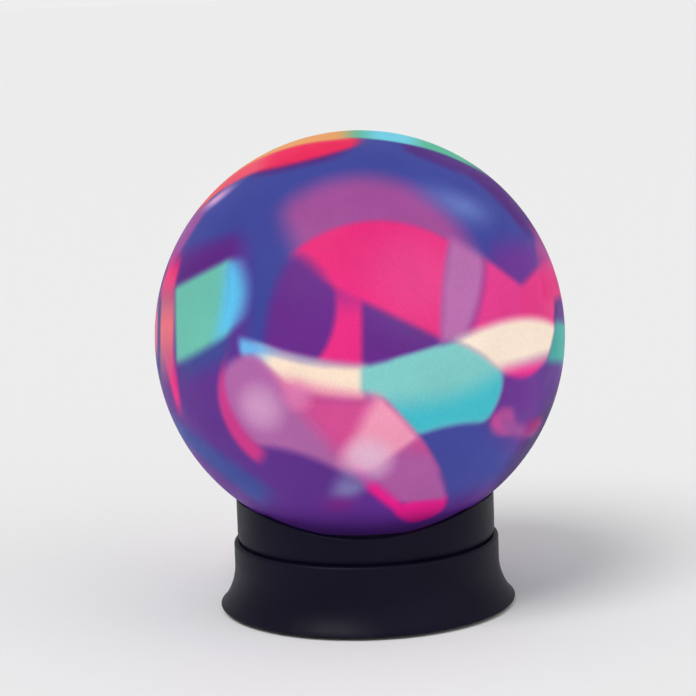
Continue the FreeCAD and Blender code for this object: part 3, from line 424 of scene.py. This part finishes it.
# ---------------------------------------------------------------- shapes
def rounded(corners, steps=5):
    """Outline from corners (r, z) or (r, z, rounding); a rounded corner becomes a short arc."""
    points = []
    for k, corner in enumerate(corners):
        here = Vector(corner[:2])
        if len(corner) == 2:
            points.append(tuple(here))
            continue
        back = (Vector(corners[k - 1][:2]) - here).normalized()
        ahead = (Vector(corners[(k + 1) % len(corners)][:2]) - here).normalized()
        half = back.angle(ahead) / 2
        reach = corner[2] / math.tan(half)
        centre = here + (back + ahead).normalized() * corner[2] / math.sin(half)
        start = here + back * reach - centre
        swing = start.angle_signed(here + ahead * reach - centre)
        for step in range(steps + 1):
            angle = -swing * step / steps
            turned_arm = Vector((start.x * math.cos(angle) - start.y * math.sin(angle),
                                 start.x * math.sin(angle) + start.y * math.cos(angle)))
            points.append(tuple(centre + turned_arm))
    return points


def arc(centre_r, centre_z, radius, start, end, steps):
    """Points of an arc in the half-section, angles in degrees from outwards."""
    points = []
    for step in range(steps + 1):
        angle = math.radians(start + (end - start) * step / steps)
        points.append((centre_r + radius * math.cos(angle), centre_z + radius * math.sin(angle)))
    return points


def spun(outline, steps, axis=(0, 0, 1), at=(0, 0, 0)):
    """Mesh of a closed outline of (r, z) turned about an axis; the turned form then stands at a point."""
    mesh = bmesh.new()
    verts = [mesh.verts.new((r * MM, 0, z * MM)) for r, z in outline]
    edges = [mesh.edges.new((verts[k - 1], verts[k])) for k in range(len(verts))]
    bmesh.ops.spin(mesh, geom=verts + edges, cent=(0, 0, 0), axis=(0, 0, 1), dvec=(0, 0, 0),
                   angle=2 * math.pi, steps=steps, use_merge=True, use_duplicate=False)
    bmesh.ops.remove_doubles(mesh, verts=mesh.verts, dist=1e-6)
    bmesh.ops.dissolve_degenerate(mesh, edges=mesh.edges, dist=1e-7)
    bmesh.ops.recalc_face_normals(mesh, faces=mesh.faces)
    turn = Vector((0, 0, 1)).rotation_difference(Vector(axis)).to_matrix().to_4x4()
    bmesh.ops.transform(mesh, matrix=Matrix.Translation(Vector(at) * MM) @ turn, verts=mesh.verts)
    return mesh


def join(target, *others):
    """Adds the other meshes to the first."""
    for other in others:
        spare = bpy.data.meshes.new("spare")
        other.to_mesh(spare)
        other.free()
        target.from_mesh(spare)
        bpy.data.meshes.remove(spare)
    return target


def made(mesh, name, material=None):
    """Object of a mesh, smooth but for its sharp edges."""
    data = bpy.data.meshes.new(name)
    mesh.to_mesh(data)
    mesh.free()
    data.shade_smooth()
    data.set_sharp_from_angle(angle=SHARP_EDGE)
    data.materials.append(material)
    piece = bpy.data.objects.new(name, data)
    bpy.context.scene.collection.objects.link(piece)
    return piece


def worked(piece, operation, tools):
    """Cuts the tools from a piece, or joins them to it, and takes them away."""
    for tool in tools:
        step = piece.modifiers.new(operation.lower(), "BOOLEAN")
        step.operation = operation
        step.solver = "EXACT"
        step.object = tool
    bpy.context.view_layer.update()
    done = bpy.data.meshes.new_from_object(piece.evaluated_get(bpy.context.evaluated_depsgraph_get()))
    piece.modifiers.clear()
    piece.data = done
    done.set_sharp_from_angle(angle=SHARP_EDGE)
    for tool in tools:
        bpy.data.objects.remove(tool)


def stands_for(piece, node, body):
    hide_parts(node)
    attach(piece, body)


def rod(radius, low, high, at, axis, steps):
    """A round bar, for cutting."""
    return made(spun([(0, low), (radius, low), (radius, high), (0, high)], steps, axis, at), "rod")


def slab(width, height, low, y_low, y_high):
    """Block with rounded edges along Y, centred on X."""
    mesh = bmesh.new()
    bmesh.ops.create_cube(mesh, size=1)
    bmesh.ops.scale(mesh, vec=(width * MM, (y_high - y_low) * MM, height * MM), verts=mesh.verts)
    bmesh.ops.translate(mesh, vec=(0, (y_low + y_high) / 2 * MM, (low + height / 2) * MM), verts=mesh.verts)
    along = [edge for edge in mesh.edges
             if abs(edge.verts[0].co.y - edge.verts[1].co.y) > 0.5 * (y_high - y_low) * MM]
    bmesh.ops.bevel(mesh, geom=along, offset=RECESS_CORNER * MM, offset_type="OFFSET", segments=10, profile=0.5,
                    material=-1, affect="EDGES")
    return made(mesh, "slab")


def screw_boss(radius, low, top, bore_top, edge, at, steps):
    """Post with a blind bore from below."""
    return spun(rounded([(BOSS_BORE, low, 0.2), (radius, low, edge), (radius, top), (0, top), (0, bore_top),
                         (BOSS_BORE, bore_top)]), steps, at=at)


def flare_points(offset, steps):
    """The flare's curve from the skirt's foot up, offset inwards by a wall."""
    heights = [SKIRT_FOOT + (FLARE_TOP - SKIRT_FOOT) * step / steps for step in range(steps + 1)]
    return [(FLARE_CENTRE - math.sqrt((FLARE_RADIUS + offset) ** 2 - (FLARE_TOP - height) ** 2), height)
            for height in heights]


# ---------------------------------------------------------------- globe
def globe_shell():
    """The opal globe, open at its mouth."""
    inner = GLOBE_RADIUS - GLOBE_WALL
    low_outside = -math.degrees(math.acos(MOUTH_RADIUS / GLOBE_RADIUS))
    low_inside = -math.degrees(math.acos(MOUTH_RADIUS / inner))
    outline = arc(0, GLOBE_CENTRE, GLOBE_RADIUS, low_outside, 90, 128)
    outline += arc(0, GLOBE_CENTRE, inner, 90, low_inside, 96)
    return spun(outline, FINE_TURN)


def collar_ring():
    """Ring in the globe's mouth, with its lip on the inside of the wall."""
    return spun(rounded([
        (COLLAR_INSIDE, COLLAR_FOOT, 0.4), (MOUTH_RADIUS, COLLAR_FOOT, 0.5), (MOUTH_RADIUS, LIP_ROOT),
        (LIP_RADIUS, LIP_EDGE), (LIP_RADIUS, COLLAR_TOP, 0.4), (COLLAR_INSIDE, COLLAR_TOP, 0.6)]), 192)


# ---------------------------------------------------------------- base shells
def rim_height(x, y):
    """Height of the neck's rim: arched from side to side and hollowed to the globe."""
    away = max(0.0, abs(y) - RIM_LEVEL_HALF)
    roll = RIM_PEAK - (RIM_ROLL - math.sqrt(RIM_ROLL ** 2 - away ** 2))
    hollow = GLOBE_CENTRE - math.sqrt((GLOBE_RADIUS + RIM_GAP) ** 2 - x * x - y * y)
    return min(roll, hollow)


def neck_shell():
    """Upper shell: tucked wall with its arched rim, dish, socket and the spigot into the skirt."""
    inner = NECK_RADIUS - NECK_WALL
    outline = [(SPIGOT_INSIDE, LEDGE_TOP), (SPIGOT_RADIUS, LEDGE_TOP), (SPIGOT_RADIUS, SEAM - SEAM_GAP)]
    outline += [(NECK_RADIUS - TUCK_DEPTH * (1 - math.sin(math.pi / 2 * k / TUCK_STEPS)),
                 SEAM + TUCK_HEIGHT * (k / TUCK_STEPS) ** TUCK_CURVE) for k in range(TUCK_STEPS + 1)]
    outline += arc(NECK_RADIUS - RIM_EDGE_ROUND, RIM_DRAWN - RIM_EDGE_ROUND, RIM_EDGE_ROUND, 0, 90, 5)
    outline += arc(inner + RIM_EDGE_ROUND, RIM_DRAWN - RIM_EDGE_ROUND, RIM_EDGE_ROUND, 90, 180, 5)
    outline += [(inner, DISH_EDGE + DISH_CHAMFER), (inner - DISH_CHAMFER, DISH_EDGE)]
    outline += rounded([(inner, DISH_EDGE), (DISH_INSIDE, SOCKET_TOP), (SOCKET_INSIDE, SOCKET_TOP, 0.5),
                        (SOCKET_INSIDE, SOCKET_FOOT, 0.3), (SOCKET_OUTSIDE, SOCKET_FOOT, 0.3),
                        (SOCKET_OUTSIDE, DISH_UNDERSIDE[0]), (SPIGOT_INSIDE, DISH_UNDERSIDE[1])])[1:]
    mesh = spun(outline, FINE_TURN)
    for vert in mesh.verts:
        drop = RIM_DRAWN - vert.co.z / MM
        if drop < RIM_DEPTH:
            vert.co.z = (rim_height(vert.co.x / MM, vert.co.y / MM) - drop) * MM
    return mesh


def neck_bosses():
    """Posts under the dish that take the collar's screws."""
    return [screw_boss(radius=3.0, low=LEDGE_TOP, top=41.2, bore_top=34.9, edge=0.2, at=at, steps=32)
            for at in NECK_SCREWS]


def skirt_outside():
    """Outer outline of the skirt, from its foot to the top of its rolled shoulder."""
    curve = flare_points(0, 28)
    foot = curve[0][0]
    toe = [(foot - TOE * inwards, SKIRT_FOOT + TOE * up) for inwards, up in TOE_POINTS]
    return toe + curve[2:] + arc(SKIRT_RADIUS - SHOULDER_ROLL, SEAM - SHOULDER_ROLL, SHOULDER_ROLL, 0, 90, 10)


def skirt_shell():
    """Lower shell: straight above, flared below, with the ledge that carries the neck."""
    hollow = flare_points(SKIRT_WALL, 20)
    outline = [hollow[0]] + skirt_outside()
    outline += rounded([(SKIRT_RADIUS - SHOULDER_ROLL, SEAM), (SKIRT_INSIDE, SEAM, 0.2), (SKIRT_INSIDE, LEDGE_TOP),
                        (LEDGE_INSIDE, LEDGE_TOP, 0.3), (LEDGE_INSIDE, LEDGE_LOW, 0.3), (SKIRT_INSIDE, LEDGE_LOW),
                        (SKIRT_INSIDE, FLARE_TOP)])[1:]
    outline += list(reversed(hollow))[1:-1]
    return spun(outline, FINE_TURN)


def skirt_with_recess(material):
    """The skirt with the box at its back that holds the socket and the button, its bosses and its holes."""
    skirt = made(skirt_shell(), "flared_skirt", material)
    box = slab(RECESS_WIDTH + 2 * RECESS_SIDE_WALL, RECESS_HEIGHT + 2 * RECESS_END_WALL, RECESS_LOW - RECESS_END_WALL,
               PANEL_FLOOR - PANEL_WALL, BOX_REACH)
    worked(box, "INTERSECT", [made(spun([(0, SKIRT_FOOT)] + skirt_outside() + [(0, SEAM)], FINE_TURN), "outside")])
    worked(skirt, "UNION", [box])
    cuts = [slab(RECESS_WIDTH, RECESS_HEIGHT, RECESS_LOW, PANEL_FLOOR, POCKET_REACH)]
    cuts += [rod(PANEL_HOLE, PANEL_FLOOR - PANEL_WALL - 1, PANEL_FLOOR + 1, (x, 0, CONTROL_HEIGHT), (0, 1, 0), 48)
             for x in (JACK_X, BUTTON_X)]
    cuts += [rod(SCREW_HOLE, *SCREW_HOLE_SPAN, at, (0, 0, 1), 32) for at in NECK_SCREWS]
    worked(skirt, "DIFFERENCE", cuts)
    mesh = bmesh.new()
    mesh.from_mesh(skirt.data)
    join(mesh, *[screw_boss(radius=3.5, low=5.2, top=25.6, bore_top=12.2, edge=0.3, at=at, steps=40)
                 for at in PLATE_SCREWS])
    mesh.to_mesh(skirt.data)
    mesh.free()
    skirt.data.set_sharp_from_angle(angle=SHARP_EDGE)
    return skirt


# ---------------------------------------------------------------- controls
def finger_button():
    """Round button with a shallow dish in its face and the flange that keeps it in the panel."""
    outline = rounded([(0, FLANGE_BACK), (FLANGE_RADIUS, FLANGE_BACK, 0.3), (FLANGE_RADIUS, FLANGE_FACE, 0.3),
                       (BUTTON_RADIUS, FLANGE_FACE), (BUTTON_RADIUS, BUTTON_FACE, 0.6), (FINGER_DISH, BUTTON_FACE)])
    for k in range(1, FINGER_DISH_STEPS + 1):
        angle = math.radians(90 * k / FINGER_DISH_STEPS)
        outline.append((FINGER_DISH * math.cos(angle), BUTTON_FACE - FINGER_DISH_DEPTH * math.sin(angle)))
    return spun(outline, 96, (0, 1, 0), (BUTTON_X, 0, CONTROL_HEIGHT))


# ---------------------------------------------------------------- finishes
def light_on_globe(finish, direction, patches):
    """Red, green and blue of soft-edged patches of light laid over each other on a sphere."""
    levels = list(AMBIENT)
    for _, colour, caps in patches:
        mask = None
        for azimuth, elevation, radius, softness in caps:
            turn, rise, reach = map(math.radians, (azimuth, elevation, radius))
            pole = (math.sin(turn) * math.cos(rise), -math.cos(turn) * math.cos(rise), math.sin(rise))
            edge = math.radians(softness) * math.sin(reach)
            facing = finish.vector("DOT_PRODUCT", direction, pole, output=1)
            inside = finish.band(facing, math.cos(reach) - edge, math.cos(reach) + edge)
            mask = inside if mask is None else mask * inside
        levels = [was if level is None else finish.blend(was, level, mask) for was, level in zip(levels, colour)]
    return levels


def glowing_opal():
    """Lit opal globe: one shader for its front half and one for its back half, faded into each other at the side."""
    finish = Finish("glowing_opal_acrylic")
    place = finish.place()
    arm = finish.vector("SUBTRACT", place, (0, 0, GLOBE_CENTRE * MM))
    direction = finish.node("ShaderNodeVectorMath", {"operation": "NORMALIZE"}, {0: arm})
    cloud = finish.band(finish.noise(place, 26, 4, 0.6), 0.3, 0.7, 0.98, 1.02)
    fine = finish.band(finish.noise(place, 900, 2), 0.3, 0.7, 0.985, 1.015)
    mottle = cloud * fine
    gloss = finish.band(finish.noise(place, 70, 3), 0.3, 0.7, 0.46, 0.56)
    ripple = finish.bump(finish.noise(place, 55, 2), 0.05, 0.0004)
    halves = []
    for patches in (FRONT_LIGHT, BACK_LIGHT):
        levels = light_on_globe(finish, direction, patches)
        red, green, blue = [(level * mottle) ** SCREEN_GAMMA for level in levels]
        colour = finish.node("ShaderNodeCombineColor", inputs={0: red, 1: green, 2: blue})
        glow = finish.scaled(colour, GLOW_SHARE)
        # The lamp's light pattern, painted into the shell's own colour as painted light.
        body = finish.scaled(colour, PAINTED_LIGHT_SHARE)
        halves.append(finish.shader(Base_Color=body, Roughness=gloss, Specular_IOR_Level=0.13, Emission_Color=glow,
                                    Emission_Strength=1.0, Normal=ripple))
    rearwards = finish.vector("DOT_PRODUCT", direction, BACK_POLE, output=1)
    behind = finish.band(rearwards, *BACK_FADE)
    return finish.done(finish.node("ShaderNodeMixShader", inputs={0: behind, 1: halves[0], 2: halves[1]}))


def moulded(name, dark, light, roughness, grain, depth, patch, specular=0.5):
    """Injection-moulded plastic: two near tones, a fine spark-eroded grain and slightly uneven gloss."""
    finish = Finish(name)
    place = finish.place()
    tone = finish.band(finish.noise(place, patch, 4, 0.6), 0.3, 0.7)
    speck = finish.band(finish.noise(place, grain, 2, 0.6), 0.35, 0.65)
    colour = finish.tint(screen(*dark), screen(*light), tone * 0.6 + speck * 0.4)
    handled = finish.band(finish.noise(place, patch * 0.45, 3, 0.55, 1.2), 0.42, 0.62)
    return finish.surface(Base_Color=colour, Roughness=handled * -0.06 + speck * 0.05 + roughness,
                          Specular_IOR_Level=specular, Normal=finish.bump(speck, 0.35, depth))


def turned_metal(name, colour, shade, roughness, marks_scale):
    """Machined or rolled metal: fine marks along one way, with cloudy wear."""
    finish = Finish(name)
    place = finish.place()
    drawn = finish.noise(finish.scaled_up(place, 14), marks_scale, 4, 0.65)
    marks = finish.band(drawn, 0.35, 0.65)
    cloud = finish.band(finish.noise(place, 240, 4, 0.6), 0.35, 0.7)
    tone = finish.tint(colour, shade, cloud * 0.7 + marks * 0.3)
    return finish.surface(Base_Color=tone, Metallic=1.0, Roughness=marks * 0.12 + cloud * 0.10 + roughness,
                          Normal=finish.bump(marks, 0.3, 0.000006))


def housing_plastic():
    """Satin near-black shell, rubbed a little lighter along its foot."""
    finish = Finish("housing_satin_black")
    place = finish.place()
    height = finish.parts(place)[2]
    speck = finish.band(finish.noise(place, 1500, 2, 0.6), 0.35, 0.65)
    cloud = finish.band(finish.noise(place, 38, 4, 0.6), 0.32, 0.68)
    scuffs = finish.band(finish.noise(finish.scaled_up(place, 5), 130, 5, 0.7), 0.60, 0.72)
    foot = finish.band(height, RUBBED_SPAN[0] * MM, RUBBED_SPAN[1] * MM, 1.0, 0.0)
    # Near-black plastic tones; their violet tint is the globe's light reflected on the shell, a painted reflection.
    colour = finish.tint(screen(0.062, 0.052, 0.110), screen(0.086, 0.074, 0.145), cloud * 0.55 + speck * 0.45)
    colour = finish.tint(colour, screen(0.16, 0.15, 0.20), foot * scuffs * 0.6)
    return finish.surface(Base_Color=colour, Specular_IOR_Level=0.10,
                          Roughness=cloud * 0.07 + speck * 0.05 + scuffs * 0.08 + 0.40,
                          Normal=finish.bump(speck, 0.28, 0.000018))


def clear_rubber():
    """Seat ring, coloured dark as painted shade where it lies between globe and base, with dust on it."""
    finish = Finish("clear_soft_rubber")
    place = finish.place()
    dust = finish.band(finish.noise(place, 600, 4, 0.6), 0.4, 0.7)
    # Both tones are dark: painted shade of the gap between globe and base; the dust mixes them.
    return finish.surface(Base_Color=finish.tint(screen(0.13, 0.125, 0.15), screen(0.19, 0.185, 0.21), dust),
                          Roughness=dust * 0.2 + 0.45, Specular_IOR_Level=0.45,
                          Normal=finish.bump(dust, 0.2, 0.00003))


def lens(name, colour, core):
    """Coloured epoxy of one diode, brighter over its chip."""
    finish = Finish(name)
    place = finish.place()
    height = finish.parts(place)[2]
    dome = finish.band(height, LENS_SPAN[0] * MM, LENS_SPAN[1] * MM)
    wisp = finish.band(finish.noise(place, 900, 2), 0.3, 0.7)
    tone = finish.tint(screen(*colour), screen(*core), dome * 0.7 + wisp * 0.2)
    return finish.surface(Base_Color=tone, Roughness=wisp * 0.06 + 0.12, Specular_IOR_Level=0.5, Coat_Weight=0.4,
                          Emission_Color=tone, Emission_Strength=0.35)


def circuit_board(name, mask_colour, track_colour, pitch):
    """Solder mask with slightly raised tracks beneath it and a woven ground."""
    finish = Finish(name)
    place = finish.place()
    x, y, _ = finish.parts(place)
    weave = finish.band(x.math("SINE", x * 9000) * y.math("SINE", y * 9000), -0.4, 0.4)
    maze = finish.cell_edges(finish.scaled_up(place, 0.01), pitch)
    track = finish.band(maze, 0.10, 0.13, 1.0, 0.0)
    colour = finish.tint(screen(*mask_colour), screen(*track_colour), track * 0.75 + weave * 0.08)
    return finish.surface(Base_Color=colour, Roughness=track * -0.06 + weave * 0.05 + 0.34, Specular_IOR_Level=0.5,
                          Normal=finish.bump(track + weave * 0.1, 0.3, 0.00003))


def lead_jacket():
    """Twin lead: fine lengthwise ribs on soft sleeving."""
    finish = Finish("lead_jacket")
    place = finish.place()
    rib = finish.band(finish.noise(finish.scaled_up(place, 0.2), 1500, 2), 0.35, 0.65)
    cloud = finish.band(finish.noise(place, 120, 3), 0.35, 0.65)
    return finish.surface(Base_Color=finish.tint(screen(0.10, 0.10, 0.11), screen(0.17, 0.17, 0.18), cloud),
                          Roughness=rib * 0.1 + 0.42, Normal=finish.bump(rib, 0.3, 0.00003))


# One finish for each slot of the frame. Plastics: dark and light tone, roughness, scale of the grain, its depth in
# metres and scale of the patches. Metals: colour, shade, roughness and scale of the marks.
FINISHES = {
    "opal_shell": glowing_opal(),
    "housing": housing_plastic(),
    "cover": moulded("cover_black", (0.085, 0.082, 0.095), (0.13, 0.127, 0.14), 0.50, 900, 0.00004, 45),
    "rubber": moulded("rubber_black", (0.10, 0.10, 0.10), (0.17, 0.17, 0.168), 0.74, 1100, 0.00005, 130, 0.3),
    "clear_rubber": clear_rubber(),
    "engineering_plastic": moulded("gear_acetal", (0.86, 0.85, 0.80), (0.93, 0.925, 0.89), 0.34, 1800, 0.000012, 90),
    "deck_plastic": moulded("deck_grey", (0.29, 0.30, 0.32), (0.36, 0.37, 0.39), 0.48, 1000, 0.00003, 50),
    "pattern_plastic": moulded("dome_black", (0.11, 0.11, 0.12), (0.17, 0.17, 0.185), 0.40, 1300, 0.00002, 70),
    "washer_plastic": moulded("washer_white", (0.88, 0.88, 0.86), (0.95, 0.95, 0.94), 0.42, 2000, 0.00001, 150),
    "steel": turned_metal("zinc_steel", (0.62, 0.62, 0.60), (0.46, 0.46, 0.45), 0.26, 650),
    "motor_steel": turned_metal("rolled_can", (0.56, 0.57, 0.58), (0.42, 0.42, 0.43), 0.32, 350),
    "aluminium": turned_metal("bare_aluminium", (0.78, 0.79, 0.80), (0.62, 0.63, 0.64), 0.34, 450),
    "board_white": circuit_board("board_white_mask", (0.90, 0.91, 0.90), (0.80, 0.81, 0.80), 240),
    "board_green": circuit_board("board_green_mask", (0.07, 0.30, 0.16), (0.16, 0.44, 0.25), 300),
    "component": moulded("component_black", (0.10, 0.10, 0.105), (0.16, 0.16, 0.165), 0.42, 1700, 0.00002, 200),
    "socket_plastic": moulded("socket_nylon", (0.84, 0.80, 0.70), (0.91, 0.88, 0.80), 0.45, 1600, 0.00002, 160),
    "red_lens": lens("red_epoxy", (0.82, 0.10, 0.12), (1.0, 0.42, 0.38)),
    "green_lens": lens("green_epoxy", (0.12, 0.68, 0.26), (0.55, 1.0, 0.60)),
    "blue_lens": lens("blue_epoxy", (0.12, 0.24, 0.86), (0.45, 0.60, 1.0)),
    "button_plastic": moulded("button_grey", (0.34, 0.345, 0.37), (0.42, 0.425, 0.45), 0.38, 1500, 0.00002, 120),
    "lead_jacket": lead_jacket(),
}


# ---------------------------------------------------------------- pieces
housing = FINISHES["housing"]
neck = join(neck_shell(), *neck_bosses())

stands_for(made(globe_shell(), "lit_globe", FINISHES["opal_shell"]), "opal_globe", "globe")
stands_for(made(collar_ring(), "mouth_collar", housing), "globe_collar", "globe")
stands_for(made(neck, "arched_neck", housing), "neck_collar", "base")
stands_for(skirt_with_recess(housing), "base_skirt", "base")
stands_for(made(finger_button(), "finger_button", FINISHES["button_plastic"]), "power_button", "button")

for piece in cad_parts.values():
    if not piece.hide_render:
        slot = piece.material_slots[0].material.name
        piece.material_slots[0].material = FINISHES[slot.split(".")[0]]


# ---------------------------------------------------------------- stage
def stage_floor():
    """Wide pale floor; where the camera looks past it, the world carries the same tone."""
    mesh = bmesh.new()
    bmesh.ops.create_circle(mesh, cap_ends=True, segments=128, radius=FLOOR_RADIUS)
    finish = Finish("pale_floor")
    grain = finish.band(finish.noise(finish.place(), 120, 4, 0.6), 0.3, 0.7, -0.004, 0.004)
    colour = finish.node("ShaderNodeCombineColor", inputs={channel: grain + FLOOR_TONE for channel in range(3)})
    finish.surface(Base_Color=colour, Roughness=0.9, Specular_IOR_Level=0.1)
    made(mesh, "floor", finish.material)


def world_light():
    """Even light from all around; the camera itself sees a pale backdrop."""
    world = bpy.data.worlds.new("studio")
    bpy.context.scene.world = world
    world.use_nodes = True
    tree = world.node_tree
    tree.nodes.clear()
    path = tree.nodes.new("ShaderNodeLightPath")
    soft = tree.nodes.new("ShaderNodeBackground")
    soft.inputs["Color"].default_value = (1, 1, 1, 1)
    soft.inputs["Strength"].default_value = SKY_STRENGTH
    seen = tree.nodes.new("ShaderNodeBackground")
    seen.inputs["Color"].default_value = (PALE, PALE, PALE, 1)
    seen.inputs["Strength"].default_value = 1.0
    pick = tree.nodes.new("ShaderNodeMixShader")
    out = tree.nodes.new("ShaderNodeOutputWorld")
    tree.links.new(path.outputs["Is Camera Ray"], pick.inputs[0])
    tree.links.new(soft.outputs[0], pick.inputs[1])
    tree.links.new(seen.outputs[0], pick.inputs[2])
    tree.links.new(pick.outputs[0], out.inputs["Surface"])


def lamp(name, azimuth, elevation, strength, spread):
    """Far lamp; azimuth from the front, to the right."""
    data = bpy.data.lights.new(name, "SUN")
    data.energy = strength
    data.angle = math.radians(spread)
    turn, rise = math.radians(azimuth), math.radians(elevation)
    way = Vector((math.sin(turn) * math.cos(rise), -math.cos(turn) * math.cos(rise), math.sin(rise)))
    source = bpy.data.objects.new(name, data)
    source.rotation_euler = way.to_track_quat("Z", "Y").to_euler()
    bpy.context.scene.collection.objects.link(source)


def camera():
    """Camera a little above the lamp's middle and slightly rolled."""
    data = bpy.data.cameras.new("camera")
    data.lens = CAMERA_LENS
    data.sensor_width = 36
    data.clip_end = 50
    eye = bpy.data.objects.new("camera", data)
    axes = Matrix((CAMERA_RIGHT, CAMERA_UP, CAMERA_BACK)).transposed().to_4x4()
    eye.matrix_world = Matrix.Translation(CAMERA_PLACE) @ axes
    bpy.context.scene.collection.objects.link(eye)
    bpy.context.scene.camera = eye


stage_floor()
world_light()
lamp("key", azimuth=-35, elevation=52, strength=1.7, spread=30)
lamp("fill", azimuth=55, elevation=30, strength=0.55, spread=60)
camera()
bpy.context.scene.view_settings.view_transform = "Standard"
